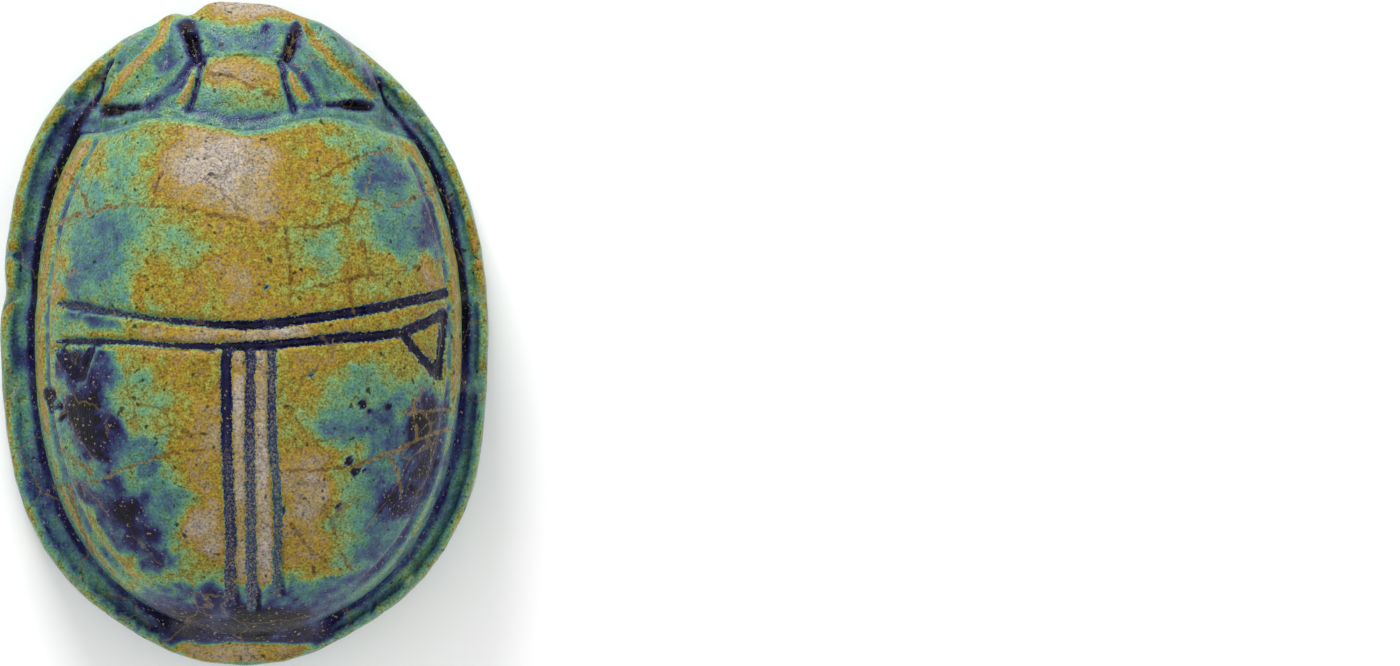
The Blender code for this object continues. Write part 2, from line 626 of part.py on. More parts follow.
def bird(bm, bill, head, neck, body, feet):
    """Small bird: bill and neck as strokes, head and body as round hollows, two thin legs."""
    seal_stroke(bm, bill, PLUME_DEPTH)
    seal_stroke(bm, head, BIRD_DEPTH, ROUND_CUT)
    seal_stroke(bm, neck, BIRD_DEPTH)
    seal_stroke(bm, body, BIRD_DEPTH, ROUND_CUT)
    for foot in feet:
        seal_stroke(bm, foot, PLUME_DEPTH)


def birds(bm):
    """Two birds back to back above the arms of the middle figure."""
    bird(bm,
         bill=((-5.3, 6.66, 0.24), (-4.2, 6.76, 0.62)),
         head=((-4.05, 6.7, 1.1), (-3.65, 6.66, 1.2)),
         neck=((-3.55, 6.3, 0.7), (-3.75, 5.85, 0.6), (-4.3, 5.3, 0.66)),
         body=((-4.3, 5.25, 0.7), (-4.05, 4.5, 1.35), (-3.65, 3.8, 1.6), (-3.3, 3.1, 1.45), (-3.1, 2.6, 0.9)),
         feet=(((-4.3, 3.2, 0.46), (-4.85, 2.05, 0.4)), ((-3.85, 2.8, 0.46), (-4.13, 1.45, 0.4))))
    bird(bm,
         bill=((5.15, 6.86, 0.34), (4.2, 6.76, 0.56)),
         head=((3.6, 6.5, 1.2), (3.95, 6.62, 1.15)),
         neck=((3.42, 6.2, 0.76), (3.7, 5.6, 0.62), (4.3, 4.95, 0.68)),
         body=((4.4, 4.85, 0.7), (4.3, 4.1, 1.15), (3.95, 3.45, 1.55), (3.5, 2.95, 1.1), (2.95, 2.6, 0.5)),
         feet=(((4.05, 2.75, 0.44), (4.15, 1.9, 0.4)), ((4.55, 3.1, 0.44), (4.75, 2.1, 0.4))))


def cut_seal_design(bm):
    """Border, three figures and two birds."""
    seal_border(bm)
    middle_figure(bm)
    tail_side_figure(bm)
    head_side_figure(bm)
    birds(bm)


def make_carving():
    """All strokes of back, head, legs, edge and base, as one tool that is cut out at once."""
    bm = bmesh.new()
    for cut in (cut_back_lines, cut_head_lines, cut_between_legs, cut_chip, cut_seal_design):
        cut(bm)
    return finish_mesh("carving", bm, tool=True)


# The threading hole

def make_hole():
    """Straight round tool, longer than the amulet, along Y."""
    turns = [2.0 * math.pi * (step + 0.5) / HOLE_SIDES for step in range(HOLE_SIDES)]
    rings = []
    for y in (-LENGTH, LENGTH):
        centre = Vector((0.0, y, HOLE_HEIGHT))
        rings.append([centre + Vector((math.cos(t), 0.0, math.sin(t))) * HOLE_DIAMETER / 2 for t in turns])
    bm = bmesh.new()
    skin(bm, rings)
    return finish_mesh("threading_hole", bm, tool=True)


def glazed_stone():
    """Green-blue glaze over pale stone."""
    material = bpy.data.materials.new("glazed_stone")
    material.use_nodes = True
    shader = material.node_tree.nodes["Principled BSDF"]
    shader.inputs["Base Color"].default_value = (0.28, 0.42, 0.33, 1.0)
    shader.inputs["Roughness"].default_value = 0.35
    shader.inputs["Metallic"].default_value = 0.0
    return material


def main():
    """Build the amulet."""
    clear_scene()
    scarab = make_blank()
    back = make_back()
    combine(back, make_head_room(), 'DIFFERENCE')
    combine(scarab, back, 'UNION')
    combine(scarab, make_head(), 'UNION')
    combine(scarab, make_hole(), 'DIFFERENCE')
    combine(scarab, make_carving(), 'DIFFERENCE', overlapping=True)
    scarab.data.materials.append(glazed_stone())
    scarab.data.shade_smooth()
    scarab.data.set_sharp_from_angle(angle=math.radians(CREASE_DEGREES))


main()
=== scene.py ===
# %% [markdown]
# # A scarab amulet of carved and glazed stone
#
# The amulet is one small piece of soft stone, cut to the shape of a beetle, engraved below as a
# seal, pierced for a thread and fired with a green-blue glaze. The solid that carries its sizes is
# loaded first. All the rest of this lesson gives that solid its worn surface and its glaze.

import bpy
import numpy as np
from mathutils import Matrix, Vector, noise


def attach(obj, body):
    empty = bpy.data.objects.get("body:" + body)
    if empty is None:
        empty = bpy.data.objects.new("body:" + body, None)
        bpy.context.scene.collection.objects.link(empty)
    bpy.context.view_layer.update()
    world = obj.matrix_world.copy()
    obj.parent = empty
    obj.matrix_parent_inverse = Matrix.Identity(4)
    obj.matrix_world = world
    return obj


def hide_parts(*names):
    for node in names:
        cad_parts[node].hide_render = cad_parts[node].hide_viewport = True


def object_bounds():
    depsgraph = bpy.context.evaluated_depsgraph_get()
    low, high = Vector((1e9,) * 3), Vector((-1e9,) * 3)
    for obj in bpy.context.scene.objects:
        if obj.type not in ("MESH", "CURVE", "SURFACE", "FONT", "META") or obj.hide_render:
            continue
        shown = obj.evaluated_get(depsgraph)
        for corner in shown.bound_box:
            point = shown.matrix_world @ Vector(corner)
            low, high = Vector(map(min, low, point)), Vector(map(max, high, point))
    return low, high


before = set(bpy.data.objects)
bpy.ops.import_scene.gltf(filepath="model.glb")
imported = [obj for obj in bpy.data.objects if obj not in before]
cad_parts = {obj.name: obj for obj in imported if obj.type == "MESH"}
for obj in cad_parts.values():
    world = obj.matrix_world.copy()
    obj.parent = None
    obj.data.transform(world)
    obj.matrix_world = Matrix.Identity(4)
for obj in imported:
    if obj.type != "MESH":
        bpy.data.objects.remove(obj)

MM = 0.001
cad_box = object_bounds()
cad_size = [(high - low) / MM for low, high in zip(*cad_box)]
print("solid measures %.1f x %.1f x %.1f mm" % tuple(cad_size))

# %% [markdown]
# ## The camera
#
# The amulet is seen straight from above, as a museum would record it. A camera with parallel rays
# shows a small thing without perspective, so one pixel is the same length all over the picture.
# The picture is wide and the amulet fills its left part, from the top edge to the bottom edge.

# %% Camera
PICTURE_WIDTH, PICTURE_HEIGHT = 1400, 666
AMULET_MIDDLE_X, AMULET_MIDDLE_Y = 244.5, 333.0
CAMERA_HEIGHT = 0.15
PIXEL = cad_size[1] * MM / PICTURE_HEIGHT
camera_x = (PICTURE_WIDTH / 2 - AMULET_MIDDLE_X) * PIXEL
camera_y = (AMULET_MIDDLE_Y - PICTURE_HEIGHT / 2) * PIXEL

bpy.ops.object.select_all(action='DESELECT')
bpy.ops.object.camera_add(location=(camera_x, camera_y, CAMERA_HEIGHT))
camera = bpy.context.object
camera.name = "camera_above"
camera.data.type = 'ORTHO'
camera.data.ortho_scale = PICTURE_WIDTH * PIXEL
camera.data.clip_start = 0.01
camera.data.clip_end = 1.0
bpy.context.scene.camera = camera
bpy.context.scene.view_settings.view_transform = 'Standard'
print("one pixel is %.4f mm" % (PIXEL / MM))

# %% [markdown]
# ## A skin that can be worked
#
# The solid has long thin triangles and sharp corners. A worn stone has neither. It could be
# subdivided, but cuts made by Booleans leave slivers that a subdivision keeps. A voxel remesh
# gives the whole surface small even faces instead, as clay has, and a smooth modifier then takes
# off the corners as handling has done.

# %% Copy, merge, remesh and smooth
VOXEL, MERGE_DISTANCE = 0.1435 * MM, 0.001 * MM
WEAR_STEPS = 2

bpy.ops.object.select_all(action='DESELECT')
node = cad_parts["scarab"]
node.select_set(True)
bpy.context.view_layer.objects.active = node
bpy.ops.object.duplicate()
amulet = bpy.context.object
amulet.name = "glazed_scarab"
# The copy is a piece of its own, so it keeps none of the node's marks.
for key in [key for key in amulet.keys() if key.startswith("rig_")]:
    del amulet[key]
amulet.parent = None
amulet.data.materials.clear()

bpy.ops.object.mode_set(mode='EDIT')
bpy.ops.mesh.select_all(action='SELECT')
bpy.ops.mesh.remove_doubles(threshold=MERGE_DISTANCE)
bpy.ops.object.mode_set(mode='OBJECT')

bpy.ops.object.modifier_add(type='REMESH')
remesh = amulet.modifiers[-1]
remesh.mode = 'VOXEL'
remesh.voxel_size = VOXEL
bpy.ops.object.modifier_apply(modifier=remesh.name)
bpy.ops.object.modifier_add(type='SMOOTH')
wear = amulet.modifiers[-1]
wear.factor = 0.5
wear.iterations = WEAR_STEPS
bpy.ops.object.modifier_apply(modifier=wear.name)
print("skin has %d triangles" % sum(len(face.vertices) - 2 for face in amulet.data.polygons))

# %% [markdown]
# ## Working tools
#
# From here on the surface is worked point by point, as in sculpting. All points are read into
# one table in millimetres, moved there, and written back. The distance from a point to a drawn
# line, or to the border of a drawn patch, decides how far the point moves.

# %% Read and write the skin, in millimetres
POINT_COUNT = len(amulet.data.vertices)


def read_points():
    """Places of all points of the skin."""
    flat = np.empty(POINT_COUNT * 3)
    amulet.data.vertices.foreach_get("co", flat)
    return flat.reshape(-1, 3) / MM


def write_points(places):
    """Put the points back."""
    amulet.data.vertices.foreach_set("co", (places * MM).ravel())
    amulet.data.update()


def read_normals():
    """Outward direction at each point."""
    flat = np.empty(POINT_COUNT * 3)
    amulet.data.vertex_normals.foreach_get("vector", flat)
    return flat.reshape(-1, 3)


edges = np.empty(len(amulet.data.edges) * 2, np.int32)
amulet.data.edges.foreach_get("vertices", edges)
edge_a, edge_b = edges.reshape(-1, 2).T
link_count = np.bincount(edges, minlength=POINT_COUNT)


def spread(values, steps):
    """Average values over neighbouring points, again and again, which blurs them."""
    columns = np.array(values, float).reshape(POINT_COUNT, -1)
    for _ in range(steps):
        for c in range(columns.shape[1]):
            total = np.bincount(edge_a, columns[edge_b, c], POINT_COUNT)
            total += np.bincount(edge_b, columns[edge_a, c], POINT_COUNT)
            columns[:, c] = 0.5 * columns[:, c] + 0.5 * total / link_count
    return columns.reshape(np.shape(values))


def soft_step(low, high, values):
    """0 at `low`, 1 at `high` and beyond it, and a smooth slope between."""
    share = np.clip((values - low) / (high - low), 0.0, 1.0)
    return share * share * (3.0 - 2.0 * share)


def cloud(places, size, seed, octaves=2):
    """Smooth random number between about -1 and 1 for each place, with spots of `size`."""
    drift = Vector((seed * 3.7, seed * -2.9, seed * 5.3))
    return np.array([noise.fractal(Vector(place / size) + drift, 1.0, 2.0, octaves) for place in places])


points = read_points()
print("lowest point %.3f mm, highest %.3f mm" % (points[:, 2].min(), points[:, 2].max()))

# %% Distance to a drawn line, and depth inside a drawn patch
FAR = 9.0  # stands for every place that isn't near a line
REACH = 1.6  # how far around a line distances are measured


def curve_through(path, parts=5):
    """Smooth curve through a few points."""
    rows = np.array(path, float)
    if len(rows) < 3:
        return rows
    padded = np.vstack([2 * rows[0] - rows[1], rows, 2 * rows[-1] - rows[-2]])
    curve = []
    for before, start, end, after in zip(padded, padded[1:], padded[2:], padded[3:]):
        leave, arrive = (end - before) / 2, (after - start) / 2
        for s in np.arange(parts) / parts:
            curve.append(start * (2 * s ** 3 - 3 * s ** 2 + 1) + leave * (s ** 3 - 2 * s ** 2 + s)
                         + end * (3 * s ** 2 - 2 * s ** 3) + arrive * (s ** 3 - s ** 2))
    curve.append(rows[-1])
    return np.array(curve)


def line_distance(places, path):
    """Distance from each place to a path, or FAR for places that are well away from it."""
    curve = curve_through(path)
    low, high = curve.min(axis=0) - REACH, curve.max(axis=0) + REACH
    near = np.flatnonzero(((places > low) & (places < high)).all(axis=1))
    nearest = np.full(len(near), FAR)
    for start, end in zip(curve, curve[1:]):
        run = end - start
        offset = places[near] - start
        share = np.clip(offset @ run / (run @ run), 0.0, 1.0)
        nearest = np.minimum(nearest, np.linalg.norm(offset - share[:, None] * run, axis=1))
    away = np.full(len(places), FAR)
    away[near] = nearest
    return away


def depth_inside(places, corners):
    """How far inside a patch with straight sides each place lies; negative outside it."""
    corners = np.array(corners, float)
    least = np.full(len(places), FAR)
    for start, end in zip(corners, np.roll(corners, -1, axis=0)):
        run = (end - start) / np.linalg.norm(end - start)
        inward = np.array((-run[1], run[0]))
        inward *= np.sign((corners.mean(axis=0) - start) @ inward)
        least = np.minimum(least, (places - start) @ inward)
    return least


# %% [markdown]
# ## Back and head as formulas
#
# The solid's dome is made of flat facets, and under gloss each facet would show as a band. The
# form is a simple formula, so every point of back and head is moved onto it. The formula is a
# field that is zero on the surface. A point slides along the field's slope until it reads zero.

# %% Zones of the plan
HALF_WIDTH, HALF_LENGTH, TOP = cad_size[0] / 2, cad_size[1] / 2, cad_size[2]
HEAD_POWER, TAIL_POWER = 2.05, 2.28
BACK_INSET, BACK_RIM_HEIGHT, BACK_FULLNESS, BACK_SHOULDER = 1.1, 5.1, 2.15, 0.56
COLLAR_PLACE, COLLAR_WAVE, COLLAR_WAVE_TURNS, COLLAR_DROP = 7.55, 0.28, 1.3, 0.3


def plan_share(places, inset):
    """0 in the middle of the plan, 1 on the outline that lies `inset` inside the real one."""
    power = np.where(places[:, 1] > 0.0, HEAD_POWER, TAIL_POWER)
    across = np.abs(places[:, 0]) / (HALF_WIDTH - inset)
    along = np.abs(places[:, 1]) / (HALF_LENGTH - inset)
    return (across ** power + along ** power) ** (1.0 / power)


def before_collar(places):
    """How far in front of the back's front edge each place lies."""
    share = places[:, 0] / (HALF_WIDTH - BACK_INSET)
    wave = COLLAR_WAVE * np.cos(2.0 * np.pi * COLLAR_WAVE_TURNS * share)
    return places[:, 1] - COLLAR_PLACE + wave + COLLAR_DROP * share ** 2


# %% Field of the dome
def dome_field(places):
    """Zero on the domed back."""
    rise = np.clip((places[:, 2] - BACK_RIM_HEIGHT) / (TOP - BACK_RIM_HEIGHT), 0.0, None)
    return plan_share(places, BACK_INSET) ** BACK_FULLNESS + rise ** (1.0 / BACK_SHOULDER) - 1.0


def slope_of(field, places):
    """Reading of a field, and the direction in which it grows."""
    step = 0.01
    here = field(places)
    slope = np.empty_like(places)
    for axis in range(3):
        shifted = places.copy()
        shifted[:, axis] += step
        slope[:, axis] = (field(shifted) - here) / step
    return here, slope


LARGEST_READING, LARGEST_SHIFT = 0.3, 2.0


def settle(places, field, weight, rounds=3):
    """Slide places onto the surface on which the field is zero."""
    for _ in range(rounds):
        here, slope = slope_of(field, places)
        shift = np.clip(here, -LARGEST_READING, LARGEST_READING) / (slope ** 2).sum(axis=1)
        places = places - slope * np.clip(weight * shift, -LARGEST_SHIFT, LARGEST_SHIFT)[:, None]
    return places


def relax(places, steps, weight):
    """Even out the places where the weight is high."""
    return places + (spread(places, steps) - places) * weight[:, None]


front = before_collar(points)
behind_collar = soft_step(-0.10, -0.28, front)
on_dome = behind_collar * soft_step(4.75, 5.05, points[:, 2])
for _ in range(2):
    points = settle(points, dome_field, on_dome)
    points = relax(points, 4, on_dome)
points = settle(points, dome_field, on_dome)
print("points on the dome: %d" % (on_dome > 0.5).sum())

# %% Field of the head
LIP_HEIGHT, SIDE_HEIGHT, NECK_STEP = 4.75, 5.35, 1.2
LIP_HALF_WIDTH, HEAD_HALF_WIDTH = 0.95, 5.15
HEAD_START = COLLAR_PLACE - 2 * COLLAR_WAVE - COLLAR_DROP
NECK_SHARE = COLLAR_PLACE / (HALF_LENGTH - BACK_INSET)
BACK_AT_NECK = (TOP - BACK_RIM_HEIGHT) * (1 - NECK_SHARE ** BACK_FULLNESS) ** BACK_SHOULDER
NECK = BACK_RIM_HEIGHT + BACK_AT_NECK - NECK_STEP


def fall_off(share, power, shoulder):
    """Round shoulder from 1 at a share of 0 down to 0 at a share of 1."""
    return (1.0 - np.clip(np.abs(share), 0.0, 1.0) ** power) ** shoulder


def head_half_width(y):
    """Half width of the head at each y."""
    share = np.clip((y - HEAD_START) / (HALF_LENGTH - HEAD_START), 0.0, 1.0)
    return LIP_HALF_WIDTH + (HEAD_HALF_WIDTH - LIP_HALF_WIDTH) * fall_off(share, 3.2, 0.62)


def head_field(places):
    """Zero on the uncarved head."""
    x, y, z = places.T
    share = np.clip((y - HEAD_START) / (HALF_LENGTH - HEAD_START), 0.0, 1.0)
    middle = LIP_HEIGHT + (NECK - LIP_HEIGHT) * fall_off(share, 2.1, 0.85)
    side = SIDE_HEIGHT + (LIP_HEIGHT - SIDE_HEIGHT) * share ** 0.8
    return z - side - (middle - side) * fall_off(x / head_half_width(y), 2.2, 0.6)


write_points(points)
faces_up = read_normals()[:, 2]
head_share = np.abs(points[:, 0]) / head_half_width(points[:, 1])
on_head = (soft_step(0.12, 0.3, front) * soft_step(0.98, 0.88, head_share)
           * soft_step(0.15, 0.4, faces_up) * soft_step(4.6, 4.8, points[:, 2]))
points = settle(points, head_field, on_head)
points = relax(points, 3, on_head)
points = settle(points, head_field, on_head)
write_points(points)
print("points on the head: %d" % (on_head > 0.5).sum())

# %% [markdown]
# ## Relief of the back
#
# The wing cases are parted by three long grooves, and from the plate before them by a double line.
# Each groove is given as a few points that the curve runs through. The groove's edge wanders a
# little, because a point of flint or bronze slips in such stone.

# %% Carving tools
plan = points[:, :2]
back_share = plan_share(points, BACK_INSET)
back = behind_collar * soft_step(4.9, 5.1, points[:, 2])
head = soft_step(0.05, 0.15, front) * soft_step(4.3, 4.6, points[:, 2]) * soft_step(0.1, 0.3, faces_up)
slip = 0.05 * cloud(points, 0.45, 1.0)
relief = np.zeros(POINT_COUNT)


def groove(path, width, depth, where):
    """Sink a groove with a flat floor and steep sides."""
    global relief
    away = (line_distance(plan, path) + slip) / (width / 2)
    relief = np.minimum(relief, -depth * soft_step(1.15, 0.45, away) * where)


def ridge(path, width, height, where):
    """Raise a round ridge."""
    global relief
    away = line_distance(plan, path) / (width / 2)
    relief = relief + height * soft_step(1.0, 0.0, away) * where


def patch(corners, height, edge, where):
    """Raise a patch, or sink it with a negative height; its rim slopes over `edge`."""
    global relief
    relief = relief + height * soft_step(0.0, edge, depth_inside(plan, corners)) * where


# %% Lines of the back
WING_LINES = [
    ((-0.65, -0.50), (-0.64, -3.6), (-0.52, -6.6), (-0.50, -9.6)),
    ((0.20, -0.50), (0.20, -3.6), (0.22, -6.6), (0.27, -9.8)),
    ((1.00, -0.45), (1.00, -3.6), (1.20, -6.2), (1.15, -9.4)),
]
UPPER_LINE = ((-6.7, 1.05), (-4.1, 0.63), (-1.8, 0.36), (0.2, 0.28), (2.0, 0.47), (4.7, 0.88),
              (7.15, 1.42))
LOWER_LINE = ((-6.7, -0.30), (-4.5, -0.32), (-2.5, -0.46), (-0.9, -0.50), (1.0, -0.42), (3.2, -0.22),
              (5.6, 0.02), (7.15, 0.70))
SHOULDER_LINES = [
    ((5.7, -0.05), (6.9, -1.55)),
    ((7.2, 0.60), (6.95, -1.55)),
    ((-5.6, -0.6), (-6.0, -1.6)),
    ((-6.8, -0.6), (-6.1, -1.6)),
]
RIGHT_NOTCH_SCRATCH = ((5.95, 0.05), (6.75, -0.75))
LEFT_NOTCH_HOLLOW = ((-6.75, -0.55), (-5.5, -0.5), (-6.05, -1.7))
WORN_STRETCH = ((-6.4, 0.35), (-4.6, 0.15), (-3.4, 0.05))

# Each line of the back has a path, a width, a depth and the thickness of its glaze.
WING_WIDTHS, WING_DEPTH, WING_GLAZES = (0.42, 0.40, 0.34), 0.24, (0.80, 0.73, 0.70)
CROSS_CUT = (0.38, 0.26, 0.86)
SHOULDER_CUT = (0.30, 0.20, 0.92)
BACK_LINES = [(path, width, WING_DEPTH, value)
              for path, width, value in zip(WING_LINES, WING_WIDTHS, WING_GLAZES)]
BACK_LINES += [(path, *CROSS_CUT) for path in (UPPER_LINE, LOWER_LINE)]
BACK_LINES += [(path, *SHOULDER_CUT) for path in SHOULDER_LINES]

for path, width, depth, _ in BACK_LINES:
    groove(path, width, depth, back)
groove(RIGHT_NOTCH_SCRATCH, 0.2, 0.12, back)
patch(LEFT_NOTCH_HOLLOW, -0.16, 0.2, back)
print("%d lines on the back, down to %.2f mm" % (len(BACK_LINES), relief.min()))

# %% Rim line, pits and a worn stretch
RIM_LINE_SHARE, RIM_LINE_WIDTH, RIM_LINE_DEPTH = 0.948, 0.20, 0.11
rim_away = np.abs(back_share - RIM_LINE_SHARE) * (HALF_WIDTH - BACK_INSET) / (RIM_LINE_WIDTH / 2)
fading_at_tail = 0.15 + 0.85 * soft_step(-10.0, -8.0, points[:, 1])
relief = np.minimum(relief, -RIM_LINE_DEPTH * soft_step(1.3, 0.3, rim_away) * back * fading_at_tail)

# Each pit has a middle, a radius and a depth.
PITS = [
    ((-7.10, -2.25), 0.30, 0.30), ((-6.90, -2.65), 0.28, 0.30), ((-6.65, -3.0), 0.16, 0.18),
    ((3.75, -4.65), 0.20, 0.12), ((3.95, -4.90), 0.18, 0.12), ((4.30, -4.95), 0.08, 0.06),
    ((4.20, -2.55), 0.14, 0.09), ((4.45, -2.75), 0.10, 0.07), ((5.85, -5.60), 0.18, 0.10),
    ((6.15, -5.75), 0.16, 0.10), ((5.10, -2.70), 0.10, 0.07), ((1.35, -6.4), 0.16, 0.14),
    ((3.4, -6.2), 0.16, 0.08), ((2.4, -1.5), 0.10, 0.08), ((0.8, 1.6), 0.08, 0.05),
]
torn = cloud(points, 0.22, 12.0)


def pit_distance(spot):
    """Distance to a pit of the back, with an uneven edge."""
    middle = np.argmin(np.linalg.norm(plan - np.array(spot), axis=1) + FAR * (back < 0.5))
    return np.linalg.norm(points - points[middle], axis=1) + 0.10 * torn


for spot, radius, depth in PITS:
    away = pit_distance(spot)
    relief = np.minimum(relief, -depth * soft_step(radius, 0.3 * radius, away) * back)
groove(WORN_STRETCH, 0.8, 0.08, back)
print("%d pits, down to %.2f mm" % (len(PITS), relief.min()))

# %% [markdown]
# ## Relief of the head
#
# Seen from the neck forwards, the head has a raised crown plate between two narrow strips, a
# hollow brow with a deep pit on each side, and a low lip. A hollow side plate with a crisp
# outer ridge stands on each side. All are patches and lines on the plain form of the head.

# %% Plates, pits and ridges of the head
CROWN = ((-1.42, 9.90), (1.20, 9.90), (1.66, 7.95), (-1.87, 7.95))
BROW = ((-1.62, 11.28), (1.55, 11.20), (1.20, 9.90), (-1.42, 9.90))
LIP = ((-2.05, 11.36), (-1.90, 12.40), (2.20, 12.40), (2.10, 11.24))
LEFT_PLATE = ((-2.72, 11.30), (-4.95, 8.25), (-2.80, 8.50), (-2.10, 9.95))
RIGHT_PLATE = ((2.10, 11.00), (4.45, 8.50), (2.95, 8.30), (2.30, 9.60))
LEFT_PIT = ((-2.30, 11.15), (-1.72, 11.15), (-1.45, 9.85), (-1.92, 9.65))
RIGHT_PIT = ((1.48, 11.15), (2.05, 11.15), (1.72, 9.70), (1.32, 9.85))
LEFT_RIDGE = ((-2.72, 11.45), (-3.15, 10.45), (-4.25, 9.40), (-5.05, 8.35))
RIGHT_RIDGE = ((2.10, 11.20), (3.05, 9.95), (4.55, 8.55))
LEFT_STRIP, RIGHT_STRIP = ((-1.75, 9.37), (-2.32, 8.22)), ((1.62, 9.30), (2.18, 8.50))

HEAD_PATCHES = [
    (BROW, -0.26, 0.55), (CROWN, 0.14, 0.24), (LIP, 0.20, 0.16),
    (LEFT_PLATE, -0.40, 0.70), (RIGHT_PLATE, -0.36, 0.60),
    (LEFT_PIT, -0.45, 0.20), (RIGHT_PIT, -0.45, 0.20),
]
for corners, height, slope_width in HEAD_PATCHES:
    patch(corners, height, slope_width, head)
for path in (LEFT_STRIP, RIGHT_STRIP):
    ridge(path, 0.42, 0.16, head)
for path in (LEFT_RIDGE, RIGHT_RIDGE):
    ridge(path, 0.36, 0.20, head)

# %% Grooves of the head
LEFT_CROWN_LINE, RIGHT_CROWN_LINE = ((-1.50, 9.80), (-2.00, 8.00)), ((1.28, 9.80), (1.80, 8.00))
LEFT_CHEEK = ((-1.85, 9.70), (-2.50, 8.90), (-3.50, 8.15))
RIGHT_CHEEK = ((1.65, 9.70), (2.25, 9.10), (2.70, 8.20))
LEFT_OUTER_LINE = ((-3.05, 11.50), (-3.60, 10.55), (-4.70, 9.50), (-5.50, 8.45))
RIGHT_OUTER_LINE = ((2.50, 11.20), (3.45, 10.10), (4.95, 8.70))
# Each corner groove at the neck has a path, a width, a depth and the thickness of its glaze.
NECK_CORNERS = [
    (((-5.00, 7.98), (-4.55, 8.02)), 0.36, 0.40, 1.05),
    (((-4.60, 8.02), (-3.80, 8.14)), 0.20, 0.26, 0.98),
    (((3.05, 8.26), (3.90, 8.24)), 0.20, 0.26, 0.98),
    (((3.85, 8.22), (4.50, 8.16)), 0.34, 0.40, 1.05),
]
HEAD_GROOVES = [
    (LEFT_CROWN_LINE, 0.26, 0.26), (RIGHT_CROWN_LINE, 0.26, 0.26),
    (LEFT_CHEEK, 0.42, 0.14), (RIGHT_CHEEK, 0.30, 0.12),
    (LEFT_OUTER_LINE, 0.50, 0.30), (RIGHT_OUTER_LINE, 0.50, 0.30),
]
HEAD_GROOVES += [(path, width, depth) for path, width, depth, _ in NECK_CORNERS]
for path, width, depth in HEAD_GROOVES:
    groove(path, width, depth, head)
print("%d grooves on the head" % len(HEAD_GROOVES))

# %% Move the points, and let the head rise softly to the collar
FILLET_REACH, FILLET_HEIGHT = 0.55, 0.45
outward = read_normals()
for field, zone in ((dome_field, back), (head_field, head)):
    steep = slope_of(field, points)[1]
    steep /= np.linalg.norm(steep, axis=1)[:, None]
    outward = np.where(zone[:, None] > 0.5, steep, outward)
points = points + outward * relief[:, None]
nearness = np.clip(1.0 - front / FILLET_REACH, 0.0, 1.0)
fillet = FILLET_HEIGHT * (1.0 - np.sqrt(1.0 - nearness ** 2))
level_neck = soft_step(0.2, 0.5, faces_up) * soft_step(5.0, 5.4, points[:, 2])
points[:, 2] += fillet * soft_step(0.02, 0.12, front) * level_neck
write_points(points)
print("relief from %.2f to %.2f mm" % (relief.min(), relief.max()))

# %% [markdown]
# ## Sides, legs and base
#
# The three legs on each side are ridges between slanting cuts. Short strokes across them stand
# for their bristles, as on many scarabs. The sides are drawn unrolled: degrees round from the
# widest place, times a length per degree, and height.

# %% Unroll the sides
MM_PER_DEGREE = 0.19
FOOT_GROOVE_HEIGHT, BAND_HEIGHT = 2.05, 2.35
power = np.where(points[:, 1] > 0.0, HEAD_POWER, TAIL_POWER) / 2.0
rim_share = plan_share(points, 0.0)
turn_x = (np.abs(points[:, 0]) / HALF_WIDTH / rim_share) ** power
turn_y = np.sign(points[:, 1]) * (np.abs(points[:, 1]) / HALF_LENGTH / rim_share) ** power
degrees = np.degrees(np.arctan2(turn_y, turn_x))
unrolled = np.column_stack((degrees * MM_PER_DEGREE, points[:, 2]))
inset = np.linalg.norm(plan, axis=1) * (1.0 / rim_share - 1.0)
on_side = soft_step(0.75, 0.45, inset) * soft_step(2.15, 2.35, points[:, 2])
print("points on the sides: %d" % (on_side > 0.5).sum())

# %% Strokes across the legs
BRISTLE_WIDTH, BRISTLE_DEPTH = 0.26, 0.13
side_relief = np.zeros(POINT_COUNT)


def side_stroke(start, end, width, depth):
    """Cut both sides between two places given as (degrees, height)."""
    global side_relief
    path = [(start[0] * MM_PER_DEGREE, start[1]), (end[0] * MM_PER_DEGREE, end[1])]
    away = (line_distance(unrolled, path) + slip) / (width / 2)
    side_relief = np.minimum(side_relief, -depth * soft_step(1.1, 0.3, away) * on_side)


for height in (2.75, 3.15, 3.55, 3.95):
    middle_leg = -11.0 + 13.0 * (height - FOOT_GROOVE_HEIGHT) / BAND_HEIGHT
    side_stroke((middle_leg - 4.0, height + 0.14), (middle_leg + 4.0, height - 0.14),
                BRISTLE_WIDTH, BRISTLE_DEPTH)
FRONT_LEG, HIND_LEG = (47.0, 53.0, 59.0, 65.0, 71.0), (-57.0, -63.0, -69.0, -75.0)
for place in FRONT_LEG + HIND_LEG:
    side_stroke((place, 3.55), (place + 3.0 * np.sign(place), 4.35), BRISTLE_WIDTH, BRISTLE_DEPTH)
side_stroke((13.0, 3.9), (13.5, 4.6), 0.30, 0.16)
print("strokes on the sides down to %.2f mm" % side_relief.min())

# %% [markdown]
# ## Wear, and the gutter at the tail
#
# A thread has rounded the mouths of the hole, and knocks have nicked the edges. The cuts of the
# seal keep rough floors, because nothing has ever rubbed there. At the tail the gutter behind the
# band is hardly cut: stone left standing there rises in a slope from the rim to the back.

# %% Worn mouths of the threading hole, edges and floors
def hollow_measure(steps):
    """Depth of each point below the blurred skin, in millimetres; edges give negative numbers."""
    return ((spread(points, steps) - points) * outward).sum(axis=1)


